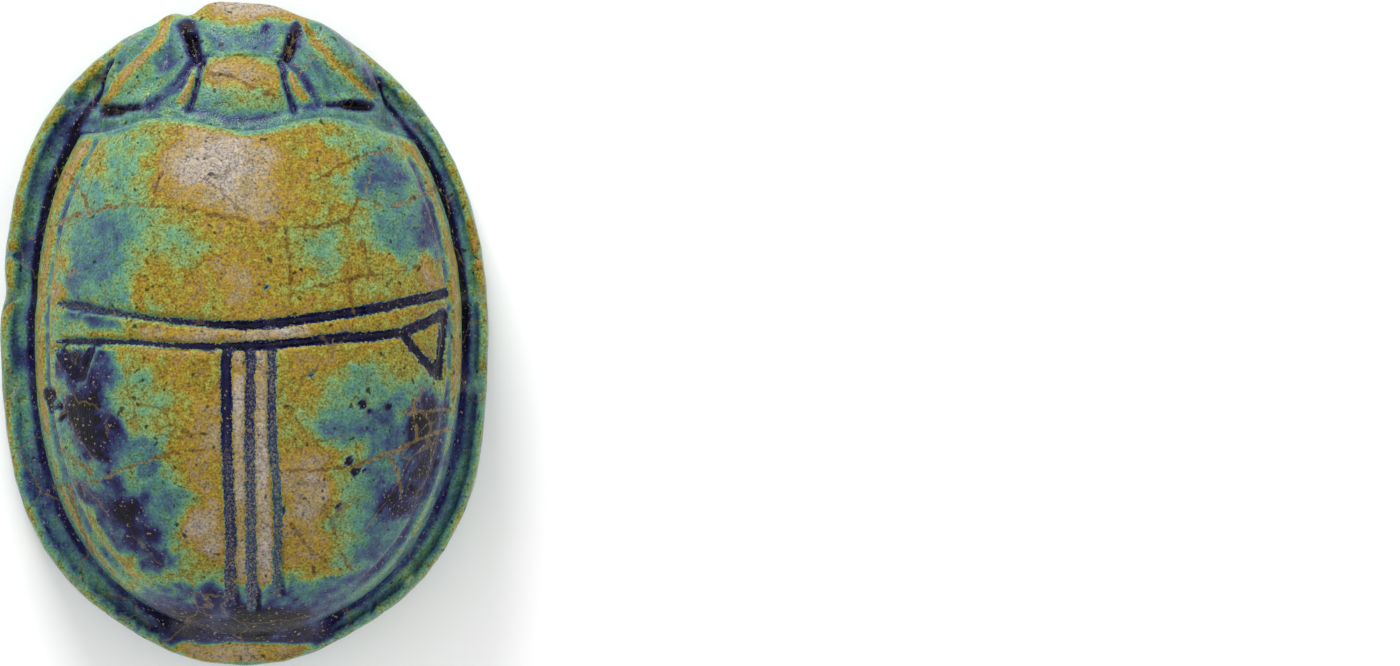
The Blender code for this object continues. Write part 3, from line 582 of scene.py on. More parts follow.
HOLE_HEIGHT, HOLE_RADIUS = 3.0, 0.75
outward = read_normals()
from_hole = np.hypot(points[:, 0], points[:, 2] - HOLE_HEIGHT)
at_mouth = soft_step(2.2, 0.9, inset) * soft_step(0.35, 0.8, np.abs(outward[:, 1]))
side_relief = side_relief - 0.16 * at_mouth * soft_step(2.1 * HOLE_RADIUS, HOLE_RADIUS, from_hole)

coarse = cloud(points, 0.9, 2.0)
fine = cloud(points, 0.32, 3.0)
edge_now = soft_step(0.015, 0.06, -hollow_measure(5))
seal_side = soft_step(0.25, 0.6, -outward[:, 2]) * soft_step(1.3, 1.0, points[:, 2])
rough_floor = soft_step(0.12, 0.30, points[:, 2] * seal_side)
print("points in the floors of the seal: %d" % (rough_floor > 0.5).sum())

# %% Slope that fills the gutter at the tail
SLOPE_FOOT, SLOPE_RISE, SLOPE_INSET, MOST_FILLING = 4.40, 1.30, 0.35, 1.6
above_band = soft_step(3.78, 3.9, points[:, 2])
at_tail = soft_step(3.6, 2.0, np.abs(points[:, 0])) * (points[:, 1] < -8.0) * above_band
filled_to = SLOPE_FOOT + SLOPE_RISE * np.clip(inset - SLOPE_INSET, 0.0, 1.0)
filling = np.clip(filled_to - points[:, 2], 0.0, MOST_FILLING) * at_tail * soft_step(0.25, 0.40, inset)
points[:, 2] += filling
softened = at_tail * soft_step(0.25, 0.5, inset) * soft_step(1.9, 1.4, inset)
points = relax(points, 9, softened)
print("gutter at the tail filled by up to %.2f mm" % filling.max())

# %% Nicks and bumps
nicks = -0.16 * edge_now * soft_step(0.15, 0.55, coarse) * soft_step(5.0, 4.6, points[:, 2])
bumps = 0.020 * coarse + (0.008 + 0.045 * rough_floor) * fine
flat_ground = seal_side * (1.0 - rough_floor)
side_relief = side_relief + nicks + bumps * (1.0 - 0.7 * flat_ground)
points = points + outward * side_relief[:, None]
print("wear from %.2f to %.2f mm" % (side_relief.min(), side_relief.max()))

# %% [markdown]
# ## An outline made by hand
#
# No hand-cut amulet is a true oval. A few wide swellings and dents are laid round the outline, each
# with its direction, its width and its height, and the back sits a little to one side.

# %% Bend the plan
# Each swelling has a direction and a half width in degrees, and a height.
SWELLINGS = [
    (68.0, 20.0, -0.34), (80.0, 3.0, -0.13), (99.6, 2.2, -0.34), (106.0, 3.0, -0.12),
    (136.0, 19.0, 0.33), (170.0, 4.0, -0.16),
    (218.0, 12.0, 0.10), (248.0, 12.0, -0.27), (291.0, 12.0, -0.30), (325.0, 13.0, 0.16),
]
BACK_DRIFT = 0.14
direction = np.degrees(np.arctan2(points[:, 1], points[:, 0])) % 360.0
swelling = np.zeros(POINT_COUNT)
for middle, half_width, height in SWELLINGS:
    swelling += height * np.exp(-((direction - middle) / half_width) ** 2)
near_rim = soft_step(0.80, 1.0, rim_share)
radius = np.linalg.norm(points[:, :2], axis=1)
points[:, :2] *= (1.0 + swelling * near_rim / np.maximum(radius, 1.0))[:, None]
near_back_rim = soft_step(0.60, 0.90, back_share) * soft_step(0.2, 0.8, inset)
near_back_rim *= soft_step(0.3, -0.3, front) * soft_step(3.2, 4.2, points[:, 2])
points[:, 0] += BACK_DRIFT * near_back_rim
points[:, 2] -= min(points[:, 2].min(), 0.0)
points = spread(points, 1)
write_points(points)
plan = points[:, :2]
x, y, z = points.T
print("skin now %.2f x %.2f x %.2f mm" % tuple(np.ptp(points, axis=0)))

# %% [markdown]
# ## What the glaze does
#
# Glaze runs off edges and gathers in hollows. The skin is compared with a blurred copy of itself:
# a point below the blurred skin lies in a hollow, one above it on an edge. A little blur finds
# the fine cuts, and much blur the broad gutters.

# %% Hollows and edges
outward = read_normals()
fine_hollow = hollow_measure(6)
broad_hollow = hollow_measure(31)
print("fine hollows %.3f to %.3f mm, broad %.3f to %.3f mm" % (
    fine_hollow.min(), fine_hollow.max(), broad_hollow.min(), broad_hollow.max()))

# %% Painting tools
WANDER_SIZE, WANDER_REACH = 1.0, 0.65
wandering = np.column_stack([cloud(points, WANDER_SIZE, seed, 3) for seed in (4.0, 5.0)])
wandering *= WANDER_REACH
tear = cloud(points, 0.55, 10.0, 4)


def lay(layer, weight, value):
    """Cover a layer with a value where the weight is high."""
    return layer + (value - layer) * weight


def cover(layer, weight, value):
    """Cover a layer; dark glaze lies a little thinner in torn places."""
    if value > 0.68:
        weight = weight * (0.72 + 0.28 * soft_step(-0.30, 0.0, tear))
    return lay(layer, weight, value)


def dab(layer, spot, size, value, strength=1.0, where=1.0, loose=1.0):
    """Lay an oval touch of glaze on the layer; `loose` says how far its border wanders."""
    across, along = ((plan + loose * wandering - np.array(spot)) / np.array(size)).T
    return cover(layer, strength * np.exp(-(across ** 2 + along ** 2) ** 1.6) * where, value)


def streak(layer, path, width, value, strength=1.0, where=1.0, loose=0.35):
    """Lay a touch of glaze along a path."""
    away = line_distance(plan + loose * wandering, path) / (width / 2)
    return cover(layer, strength * soft_step(1.5, 0.6, away) * where, value)


def paint(layer, dabs, fading=1.0, **options):
    """Lay a list of touches, one over the other."""
    for spot, size, value, strength in dabs:
        layer = dab(layer, spot, size, value, fading * strength, **options)
    return layer


# %% [markdown]
# ## How thick the glaze is
#
# One number carries the whole colouring: 0 is bare pale stone, a little glaze turns ochre and
# green, more turns turquoise and blue, and a pool is violet and nearly black. It is painted here
# in large soft touches, and the material breaks them up afterwards. Each touch in a list has its
# middle, its two half widths, its thickness and its strength. Two touches also paint light: a pale
# painted highlight on the front of the back, and a lighter left side plate of the head for its glints.

# %% Glaze on the plate behind the head
top = 1.0 - seal_side
glaze = np.full(POINT_COUNT, 0.30)
PLATE_DABS = [
    ((-4.0, 6.5), (2.0, 1.3), 0.38, 0.9),
    ((-4.8, 5.2), (1.7, 1.0), 0.51, 0.9),
    ((-2.2, 5.6), (1.3, 1.2), 0.22, 0.7),
    # This pale patch on the front of the back is partly thin glaze on bare stone and partly a painted
    # highlight, where a broad glare of light lies.
    ((-0.6, 6.1), (2.3, 1.4), 0.05, 0.95),
    ((0.2, 4.6), (2.0, 1.2), 0.15, 0.8),
    ((2.3, 6.4), (1.2, 1.1), 0.21, 1.0),
    ((3.9, 7.0), (0.9, 0.7), 0.42, 0.8),
    ((5.1, 5.7), (1.6, 1.2), 0.60, 1.0),
    ((3.0, 4.8), (0.9, 1.1), 0.28, 0.9),
    ((3.3, 3.0), (1.5, 1.1), 0.43, 0.9),
    ((5.7, 3.7), (1.4, 1.4), 0.58, 1.0),
    ((6.6, 3.7), (0.5, 1.6), 0.76, 0.9),
    ((-0.1, 2.7), (2.2, 1.6), 0.20, 1.0),
    ((-5.6, 2.5), (1.5, 1.4), 0.60, 0.95),
    ((-5.0, 3.9), (1.6, 0.7), 0.55, 0.9),
    ((-3.2, 2.8), (1.3, 1.2), 0.38, 0.9),
    ((-6.8, 2.0), (0.5, 0.9), 0.13, 1.0),
    ((4.6, 1.9), (2.0, 0.6), 0.33, 0.9),
    ((6.75, 2.2), (0.5, 0.6), 0.10, 1.0),
    ((2.2, 1.3), (1.6, 0.7), 0.24, 0.8),
    ((-5.3, 0.7), (1.5, 0.6), 0.72, 0.8),
]
glaze = paint(glaze, PLATE_DABS)

# %% Glaze on the left wing case
LEFT_DABS = [
    ((-2.4, -1.2), (1.9, 0.9), 0.24, 1.0),
    ((-1.7, -2.9), (0.9, 1.9), 0.21, 1.0),
    ((-3.4, -2.3), (1.1, 1.2), 0.45, 1.0),
    ((-4.9, -1.3), (0.8, 0.8), 0.54, 0.9),
    ((-6.1, -1.1), (0.7, 0.6), 1.00, 1.0),
    ((-5.8, -2.6), (1.2, 1.6), 1.06, 1.0),
    ((-5.0, -3.9), (1.1, 1.1), 0.98, 1.0),
    ((-3.9, -4.3), (0.9, 0.8), 0.70, 0.9),
    ((-7.1, -3.4), (0.5, 1.0), 0.48, 1.0),
    ((-6.1, -5.0), (0.9, 0.7), 0.47, 1.0),
    ((-3.2, -5.9), (1.3, 1.1), 0.54, 1.0),
    ((-2.3, -7.4), (0.9, 0.9), 0.44, 1.0),
    ((-1.3, -5.4), (0.7, 1.6), 0.16, 1.0),
    ((-1.3, -7.4), (0.6, 1.3), 0.07, 1.0),
    ((-2.6, -8.8), (1.9, 0.7), 0.33, 1.0),
    ((-5.8, -6.8), (0.9, 1.3), 0.45, 1.0),
]
glaze = paint(glaze, LEFT_DABS)
DARK_TRAIL = [
    ((-4.9, -5.7), (0.9, 0.8), 0.84, 1.0), ((-4.5, -6.4), (0.9, 0.8), 0.92, 1.0),
    ((-4.0, -7.0), (0.9, 0.9), 1.00, 1.0), ((-3.5, -7.9), (0.9, 0.7), 0.92, 1.0),
    ((-4.9, -7.2), (0.5, 0.8), 0.62, 1.0), ((-3.2, -6.7), (0.7, 0.7), 0.64, 1.0),
]
TRAIL_BORDER = ((-5.9, -6.2), (-5.2, -7.4), (-4.2, -8.9))
glaze = paint(glaze, DARK_TRAIL, 0.92)
glaze = streak(glaze, TRAIL_BORDER, 0.5, 0.22, 0.8)

# %% Glaze on the right wing case
RIGHT_DABS = [
    ((2.4, -1.2), (1.4, 0.8), 0.22, 1.0),
    ((5.1, -0.7), (1.2, 0.5), 0.26, 0.9),
    ((4.1, -2.0), (1.7, 0.7), 0.47, 1.0),
    ((1.9, -2.9), (0.6, 1.0), 0.27, 1.0),
    ((3.8, -3.3), (1.5, 0.9), 0.58, 1.0),
    ((6.7, -3.3), (1.2, 1.4), 0.95, 1.0),
    ((6.5, -4.8), (1.3, 1.3), 1.00, 1.0),
    ((5.1, -3.6), (0.8, 0.8), 0.70, 0.9),
    ((5.1, -4.8), (0.8, 0.6), 0.64, 0.9),
    ((2.3, -5.6), (1.1, 1.7), 0.15, 1.0),
    ((4.1, -5.8), (0.7, 0.7), 0.45, 0.9),
    ((5.6, -6.3), (1.3, 1.0), 0.96, 1.0),
    ((2.2, -7.3), (1.0, 0.9), 0.19, 0.9),
    ((4.2, -7.5), (1.2, 1.1), 0.55, 1.0),
    ((2.3, -8.5), (1.2, 0.5), 0.23, 0.9),
    ((5.4, -7.8), (1.0, 0.9), 0.66, 0.9),
    ((3.4, -9.2), (2.3, 0.6), 0.62, 1.0),
]
glaze = paint(glaze, RIGHT_DABS)

# %% Glaze on the tail, in and between the lines
TAIL_DABS = [
    ((-0.6, -9.6), (3.4, 0.5), 0.66, 0.9),
    ((-0.3, -10.5), (3.4, 0.9), 0.86, 1.0),
    ((0.7, -10.5), (1.6, 0.7), 1.00, 1.0),
    ((-2.1, -10.6), (0.7, 0.5), 0.98, 1.0),
    ((3.8, -10.2), (1.3, 0.6), 0.74, 0.9),
]
glaze = paint(glaze, TAIL_DABS)
STRIPS = [
    (((-0.22, -0.9), (-0.2, -5.0), (-0.12, -9.2)), 0.50, 0.00),
    (((0.60, -0.9), (0.60, -4.0), (0.70, -9.0)), 0.50, -0.08),
    (((-3.5, -0.05), (-1.5, -0.08), (1.0, -0.05), (2.3, 0.10)), 0.50, 0.10),
    (((2.6, 0.15), (4.4, 0.40), (6.3, 0.80)), 0.36, 0.26),
    (((6.2, -0.25), (6.7, -0.9)), 0.24, 0.20),
]
for path, width, value in STRIPS:
    glaze = streak(glaze, path, width, value, 0.9, where=back, loose=0.1)
print("glaze on the back: mean %.2f" % glaze[back > 0.5].mean())

# %% Glaze from the outline inwards: edge, band, gutter, flank
INSETS = (0.00, 0.20, 0.38, 0.55, 0.72, 0.92, 1.10, 1.22)
UPPER_GLAZE = (0.22, 0.36, 0.62, 0.88, 0.98, 0.96, 0.90, 0.76)
LOWER_GLAZE = (0.22, 0.64, 0.73, 0.76, 0.77, 0.77, 0.74, 0.68)
low_part = soft_step(5.25, 5.0, z) * top
towards_head = soft_step(-4.5, 1.5, y)
ring_noise = cloud(points, 1.3, 6.0, 3)
ring = inset + 0.10 * ring_noise
rim_glaze = np.interp(ring, INSETS, UPPER_GLAZE) * towards_head
rim_glaze += np.interp(ring, INSETS, LOWER_GLAZE) * (1.0 - towards_head)
glaze = lay(glaze, low_part, rim_glaze + 0.10 * cloud(points, 1.9, 7.0))

# %% Glaze on the rim of the back, and on the band
before_tail = soft_step(-9.6, -8.4, y)
low_half = soft_step(-1.0, -4.0, y)
rim_zone = soft_step(0.94, 0.96, back_share) * back * before_tail
glaze = lay(glaze, 0.75 * rim_zone * low_half, 0.55)
bead_middle = 0.972 + 0.004 * low_half
bead_half = 0.012 - 0.006 * low_half
bead = soft_step(1.6, 0.8, np.abs(back_share - bead_middle) / bead_half) * back * before_tail
bead_value = 0.15 + 0.22 * soft_step(2.0, 4.0, x) * low_half
glaze = lay(glaze, 0.85 * bead * soft_step(-0.30, 0.1, ring_noise + 0.15), bead_value)
bead_line = soft_step(1.8, 0.6, np.abs(back_share - RIM_LINE_SHARE) / 0.010) * back * before_tail
glaze = lay(glaze, 0.65 * bead_line * soft_step(-0.4, 0.2, tear + 0.1), 0.72)
BAND_DABS = [
    ((-5.6, 9.0), (2.2, 2.0), 0.36, 0.8),
    ((-8.3, 4.0), (0.7, 2.0), 0.44, 0.7),
    ((8.5, 3.6), (0.6, 2.2), 0.28, 0.7),
    ((6.4, 8.3), (1.8, 1.8), 0.58, 0.7),
    ((-6.8, 8.2), (0.7, 0.7), 0.22, 0.7),
    ((7.6, 6.0), (0.6, 0.9), 0.24, 0.7),
]
outer_band = low_part * soft_step(0.6, 0.4, inset)
glaze = paint(glaze, BAND_DABS, where=outer_band)
glaze = paint(glaze, TAIL_DABS, 0.9)
tail_lump = soft_step(-11.05, -11.3, y + 0.12 * ring_noise)
tail_lump *= soft_step(2.7, 2.2, np.abs(x))
glaze = lay(glaze, 0.95 * tail_lump * top, 0.13)

# %% Glaze on the sides
below_crest = soft_step(4.35, 4.1, z) * soft_step(1.2, 0.9, inset) * top
side_glaze = 0.50 + 0.16 * cloud(points, 1.7, 8.0, 3)
side_glaze = lay(side_glaze, soft_step(0.5, 0.1, np.abs(z - FOOT_GROOVE_HEIGHT)), 0.86)
glaze = lay(glaze, below_crest, side_glaze)

# %% Glaze on the head
head_paint = soft_step(0.0, 0.1, front) * soft_step(4.4, 4.7, z)
glaze = lay(glaze, head_paint, 0.56)
HEAD_DABS = [
    ((0.2, 11.85), (2.7, 0.66), 0.03, 1.0),
    ((-1.5, 11.45), (0.6, 0.22), 0.20, 0.9),
    ((1.9, 11.40), (0.6, 0.25), 0.20, 0.9),
    ((0.0, 10.55), (1.6, 0.55), 0.55, 1.0),
    ((-0.1, 9.35), (1.5, 0.62), 0.08, 1.0),
    ((1.0, 9.0), (0.35, 0.6), 0.19, 0.9),
    ((-0.3, 8.35), (1.5, 0.42), 0.46, 1.0),
    # The left side plate is laid thinner and so lighter than the right one: partly its own paler
    # turquoise, partly a painted highlight for the glints on it.
    ((-3.5, 9.2), (1.1, 0.9), 0.46, 1.0),
    ((-2.7, 9.6), (0.35, 0.8), 0.72, 0.8),
    ((3.2, 9.3), (1.0, 0.9), 0.50, 1.0),
    ((4.8, 9.4), (0.5, 1.0), 0.78, 0.9),
    ((0.8, 11.0), (0.16, 0.16), 0.85, 1.0),
]
glaze = paint(glaze, HEAD_DABS, where=head_paint, loose=0.3)
HEAD_STREAKS = [
    (LEFT_RIDGE, 0.30, 0.17), (RIGHT_RIDGE, 0.26, 0.17),
    (((-2.10, 11.0), (-1.90, 10.4), (-1.60, 9.8)), 0.60, 0.98),
    (((1.85, 11.0), (1.70, 10.4), (1.50, 9.85)), 0.46, 0.94),
    (LEFT_CHEEK, 0.42, 0.76), (RIGHT_CHEEK, 0.26, 0.70),
    (LEFT_STRIP, 0.28, 0.12), (RIGHT_STRIP, 0.28, 0.14),
    (LEFT_CROWN_LINE, 0.24, 0.76), (RIGHT_CROWN_LINE, 0.24, 0.80),
]
HEAD_STREAKS += [(path, width, value) for path, width, _, value in NECK_CORNERS]
for path, width, value in HEAD_STREAKS:
    glaze = streak(glaze, path, width, value, 0.95, where=head_paint, loose=0.15)
collar_edge = soft_step(0.22, 0.05, np.abs(front + 0.06)) * soft_step(4.8, 5.1, z)
glaze = lay(glaze, 0.85 * collar_edge, 0.58)
# A darker line along the foot of the rise to the collar is painted shade in that crease.
collar_foot_shade = soft_step(0.16, 0.04, np.abs(front - 0.42)) * head_paint
glaze = lay(glaze, 0.6 * collar_foot_shade, 0.74)

# %% Pits and hollows are dark, edges are worn pale
THICKEST = 1.05
for spot, radius, _ in PITS:
    glaze = lay(glaze, soft_step(1.1 * radius, 0.8 * radius, pit_distance(spot)) * back, 1.08)
fine_hollow *= 1.0 - 0.5 * head_paint
glaze = glaze + 1.6 * np.clip(fine_hollow, 0.0, 0.2) * top
glaze = glaze + 0.35 * np.clip(broad_hollow, 0.0, 0.4) * top
worn_edge = np.clip((-fine_hollow - 0.012) / 0.05, 0.0, 1.0) * top
glaze = np.clip(glaze, 0.0, THICKEST)
glaze = lay(glaze, 0.55 * worn_edge, 0.16)
print("glaze on the top: mean %.2f" % glaze[top > 0.5].mean())

# %% [markdown]
# ## The seal side
#
# The flat ground below is thinly glazed and pale, the walls of the cuts are turquoise and their
# floors dark. The depth of a point is its height above the table, so no painting is needed for
# that, only for the raised bodies of the figures.

# %% Glaze on the seal
seal_glaze = 0.26 + 0.40 * soft_step(0.02, 0.20, z) + 0.25 * soft_step(0.26, 0.50, z)
seal_glaze = seal_glaze + 1.2 * np.clip(fine_hollow, 0.0, 0.2) + 0.10 * cloud(points, 1.4, 9.0, 3)
SEAL_DABS = [
    ((-1.0, 0.1), (2.6, 1.4), 0.62, 0.7),
    ((2.4, 0.1), (2.0, 1.3), 0.56, 0.7),
    ((0.6, -7.3), (3.4, 1.1), 0.58, 0.7),
    ((0.0, 7.2), (2.4, 0.9), 0.66, 0.7),
]
raised_bodies = soft_step(0.05, 0.12, z) * soft_step(0.34, 0.24, z)
seal_glaze = paint(seal_glaze, SEAL_DABS, where=raised_bodies)
cut_edge = soft_step(0.006, 0.03, -fine_hollow) * soft_step(0.20, 0.05, z)
seal_glaze = lay(seal_glaze, 0.6 * cut_edge, 0.20)
glaze = glaze * top + np.clip(seal_glaze, 0.0, THICKEST) * seal_side
print("glaze on the seal: mean %.2f" % glaze[seal_side > 0.5].mean())

# %% [markdown]
# ## Sharp lines and cracks
#
# The cut lines of the back are filled with dark glaze up to a sharp edge, and a few long cracks
# mark this one amulet. Painted on the points, both would be as blurred as the points are apart.
# So each point only keeps its distance to the nearest line and crack. A distance is smooth
# between points, and the material draws a sharp edge wherever it passes a limit.

# %% Distance to the lines of the back
NOT_NEAR = 2.0
line_away = np.full(POINT_COUNT, NOT_NEAR)
line_glaze = np.full(POINT_COUNT, 0.8)
for path, width, _, glaze_there in BACK_LINES:
    away = line_distance(plan, path) - width / 2
    closer = away < line_away
    line_away = np.where(closer, away, line_away)
    line_glaze = np.where(closer, glaze_there, line_glaze)
line_away = np.where(back > 0.3, line_away, NOT_NEAR)
worn_left = soft_step(1.0, -3.0, x) * soft_step(-1.0, -0.6, y)
line_away += 0.10 * worn_left
line_glaze -= 0.10 * worn_left
top_of_wing = soft_step(-5.5, -2.5, y)
line_glaze = line_glaze + np.where(line_glaze < 0.85, 0.08 * top_of_wing - 0.02, 0.0)
left_end = soft_step(-3.0, -4.5, x) * soft_step(-0.1, 0.2, y)
line_glaze = lay(line_glaze, left_end, 0.74)
print("points in a line: %d" % (line_away < 0.0).sum())

# %% Cracks that mark this amulet
CRACKS = [
    ((-7.0, 3.85), (-5.8, 4.3), (-4.3, 4.6), (-3.3, 4.6), (-2.05, 4.45), (-0.7, 4.15), (0.55, 3.95)),
    ((0.55, 3.95), (1.1, 3.8), (2.45, 3.85), (3.7, 4.1), (4.05, 4.8), (5.3, 4.6), (6.95, 5.25)),
    ((-6.4, 5.7), (-5.8, 5.0), (-5.65, 4.3)),
    ((-3.3, 4.6), (-3.2, 5.25), (-2.95, 5.8)),
    ((3.7, 4.1), (4.15, 3.45), (4.55, 2.2)),
    ((2.45, 5.45), (3.9, 6.25), (5.3, 6.6)),
    ((2.45, 1.65), (4.15, 2.0), (5.5, 2.2), (7.05, 2.65)),
    ((1.55, 3.45), (1.65, 2.1), (1.7, 1.1)),
    ((3.8, 1.85), (3.9, 0.75)),
    ((-1.3, 9.35), (-0.5, 9.25), (0.2, 8.9), (0.85, 8.6), (1.4, 8.5)),
    ((-6.9, -5.55), (-5.4, -5.35), (-4.65, -5.05), (-3.75, -4.65), (-2.5, -4.35), (-1.05, -4.2)),
    ((-6.85, -4.1), (-5.9, -4.7), (-5.3, -5.35)),
    ((-6.35, -5.55), (-5.9, -6.85), (-5.55, -7.85)),
    ((1.55, -4.95), (3.45, -4.9), (4.35, -4.65), (5.15, -4.35), (6.2, -3.85), (7.5, -3.4)),
    ((5.25, -4.4), (5.55, -5.15), (5.7, -5.95)),
    ((6.2, -3.85), (6.1, -2.8), (6.05, -2.2)),
    ((5.7, -2.9), (7.6, -2.7)),
    ((3.15, -6.75), (3.45, -7.85), (3.9, -8.55)),
    ((1.2, -2.1), (2.0, -1.65), (2.55, -1.35)),
    ((1.65, -6.85), (2.25, -7.65), (3.0, -8.3)),
]
crack_plan = plan + 0.10 * np.column_stack([cloud(points, 0.35, seed, 2) for seed in (13.0, 14.0)])
crack_away = np.full(POINT_COUNT, NOT_NEAR)
for path in CRACKS:
    crack_away = np.minimum(crack_away, line_distance(crack_plan, path))
crack_away = np.where(top * (z > 4.4), crack_away, NOT_NEAR)
print("cracks drawn: %d" % len(CRACKS))


# %% Store the painting on the skin
def store(name, values):
    """Keep one number for each point, under a name that the material reads."""
    layer = amulet.data.attributes.new(name, 'FLOAT', 'POINT')
    layer.data.foreach_set("value", values.astype(np.float32))


LAYERS = {"glaze": glaze, "line_away": line_away, "line_glaze": line_glaze,
          "crack_away": crack_away, "seal_side": seal_side}
for name, values in LAYERS.items():
    store(name, values)
amulet.data.update()
print("numbers kept for each point: %d" % len(LAYERS))

# %% [markdown]
# ## The glaze as a material
#
# A ramp turns the thickness into colour. Noise of four sizes is added to the thickness first:
# soft clouds of a millimetre or more, mottling, crumbs and fine grain. So all colours break up
# along their borders in the way of a real glaze, and none has a painted edge.

# %% Node helpers
skin = bpy.data.materials.new("glazed_stone")
skin.use_nodes = True
nodes, links = skin.node_tree.nodes, skin.node_tree.links
shader = nodes["Principled BSDF"]


def add_node(kind, inputs=(), **settings):
    """New node with its settings, values and links; `inputs` are pairs of socket and value."""
    made = nodes.new(kind)
    for name, value in settings.items():
        setattr(made, name, value)
    for socket, value in inputs:
        if isinstance(value, bpy.types.NodeSocket):
            links.new(value, made.inputs[socket])
        else:
            made.inputs[socket].default_value = value
    return made


def calc(operation, first, second=0.0, third=0.0, clamp=False):
    """Arithmetic on sockets or numbers."""
    pairs = [(0, first), (1, second), (2, third)]
    return add_node('ShaderNodeMath', pairs, operation=operation, use_clamp=clamp).outputs[0]


def added(base, more, share, clamp=False):
    """The base, plus a share of something more."""
    return calc('MULTIPLY_ADD', more, share, base, clamp)


def step_between(low, high, value):
    """0 at `low`, 1 at `high`, smooth between; `low` may be the larger one."""
    pairs = [("Value", value), ("From Min", low), ("From Max", high)]
    return add_node('ShaderNodeMapRange', pairs, interpolation_type='SMOOTHSTEP').outputs[0]


def mix_colours(share, first, second):
    """Mix two colours. Sockets 6 and 7 of a mix node are its colours, and output 2 the result."""
    return add_node('ShaderNodeMix', [(0, share), (6, first), (7, second)], data_type='RGBA').outputs[2]


def layer_value(name):
    """Number painted on the skin under this name."""
    return add_node('ShaderNodeAttribute', attribute_name=name).outputs["Fac"]


PAINT_STRENGTH = 0.76  # all paints are darkened by this, to suit the bright room


def srgb(red, green, blue):
    """Colour as a paint chart gives it, from 0 to 255, made linear for the light of this scene."""
    channels = [c / 255 for c in (red, green, blue)]
    linear = [c / 12.92 if c <= 0.04045 else ((c + 0.055) / 1.055) ** 2.4 for c in channels]
    return [PAINT_STRENGTH * c for c in linear] + [1.0]


coordinates = add_node('ShaderNodeTexCoord').outputs["Object"]
in_mm = add_node('ShaderNodeMapping', [("Vector", coordinates), ("Scale", (1 / MM,) * 3)]).outputs[0]


def noise_node(size, detail, roughness, warp, shift):
    """Noise texture whose spots are about `size` millimetres wide."""
    moved = add_node('ShaderNodeMapping', [("Vector", in_mm), ("Location", (shift, shift * 1.7, -shift))])
    pairs = [("Vector", moved.outputs[0]), ("Scale", 0.6 / size), ("Detail", detail),
             ("Roughness", roughness), ("Distortion", warp)]
    return add_node('ShaderNodeTexNoise', pairs)


def noise_of(size, detail=3.0, roughness=0.55, warp=0.0, shift=0.0):
    """Noise around zero."""
    return calc('SUBTRACT', noise_node(size, detail, roughness, warp, shift).outputs["Fac"], 0.5)


def colour_ramp(value, stops):
    """Colour ramp through named stops of (position, colour)."""
    made = add_node('ShaderNodeValToRGB', [(0, value)])
    ramp = made.color_ramp
    while len(ramp.elements) < len(stops):
        ramp.elements.new(0.5)
    for element, (position, colour) in zip(ramp.elements, stops):
        element.position = position
        element.color = colour
    return made.outputs["Color"]


# %% Thickness with its noise
clouds = noise_of(1.3, 4.0, 0.6, warp=0.5)
mottling = noise_of(0.30, 4.0, 0.7, warp=0.4, shift=11.0)
crumbs = noise_of(0.12, 2.0, 0.6, shift=17.0)
grain = noise_of(0.05, 1.0, 0.7, shift=23.0)

edge_noise = added(calc('MULTIPLY', grain, 0.15), mottling, 0.35)
in_line = step_between(0.035, -0.035, calc('ADD', layer_value("line_away"), edge_noise))
thickness = layer_value("glaze")
for layer, strength in ((clouds, 0.55), (mottling, 0.48), (crumbs, 0.14)):
    thickness = added(thickness, layer, strength)
in_line_thickness = added(layer_value("line_glaze"), mottling, 0.45)
thickness = added(thickness, in_line, calc('SUBTRACT', in_line_thickness, thickness))
thickness = added(thickness, grain, 0.14)

# %% Colours of the glaze by its thickness
top_colour = colour_ramp(thickness, [
    (0.00, srgb(162, 151, 139)), (0.10, srgb(156, 139, 104)), (0.22, srgb(148, 118, 24)),
    (0.33, srgb(134, 136, 58)), (0.42, srgb(114, 148, 96)), (0.51, srgb(86, 136, 110)),
    (0.60, srgb(70, 108, 116)), (0.70, srgb(54, 70, 110)), (0.80, srgb(38, 34, 88)),
    (0.90, srgb(18, 14, 46)), (1.00, srgb(5, 5, 11))])
seal_colour = colour_ramp(thickness, [
    (0.00, srgb(196, 182, 150)), (0.20, srgb(162, 168, 126)), (0.34, srgb(128, 152, 116)),
    (0.48, srgb(84, 140, 126)), (0.60, srgb(44, 116, 132)), (0.71, srgb(34, 84, 122)),
    (0.82, srgb(50, 80, 86)), (0.92, srgb(84, 96, 70)), (1.00, srgb(60, 68, 48))])
glaze_colour = mix_colours(layer_value("seal_side"), top_colour, seal_colour)

# %% [markdown]
# ## Cracks
#
# Glaze shrinks more than stone as it cools, so it tears into a fine net. The edges between the
# cells of a Voronoi texture make such a net, once noise has bent them. It fades in and out, as
# the real one does, and the long cracks of this amulet are drawn over it from their distances.

# %% Fine cracks of the glaze
CRACK_SPACING, CRACK_WIDTH, CRACK_WOBBLE = 2.5, 0.032, 1.3
bend_noise = noise_node(0.9, 3.0, 0.6, 0.0, 31.0).outputs["Color"]
wobble = add_node('ShaderNodeVectorMath', [(0, bend_noise), (1, (0.5,) * 3)], operation='SUBTRACT')
bent = add_node('ShaderNodeVectorMath', [(0, wobble.outputs[0]), (1, (CRACK_WOBBLE,) * 3), (2, in_mm)],
                operation='MULTIPLY_ADD')
cells = add_node('ShaderNodeTexVoronoi', [("Vector", bent.outputs[0]), ("Scale", 1.0 / CRACK_SPACING)],
                 feature='DISTANCE_TO_EDGE')
cell_edge_away = calc('MULTIPLY', cells.outputs["Distance"], CRACK_SPACING)
crack = step_between(1.7 * CRACK_WIDTH, 0.5 * CRACK_WIDTH, cell_edge_away)
crack_shows = step_between(-0.04, 0.06, noise_of(1.6, 2.0, 0.5, shift=67.0))
crack = calc('MULTIPLY', calc('MULTIPLY', crack, crack_shows), 0.6)
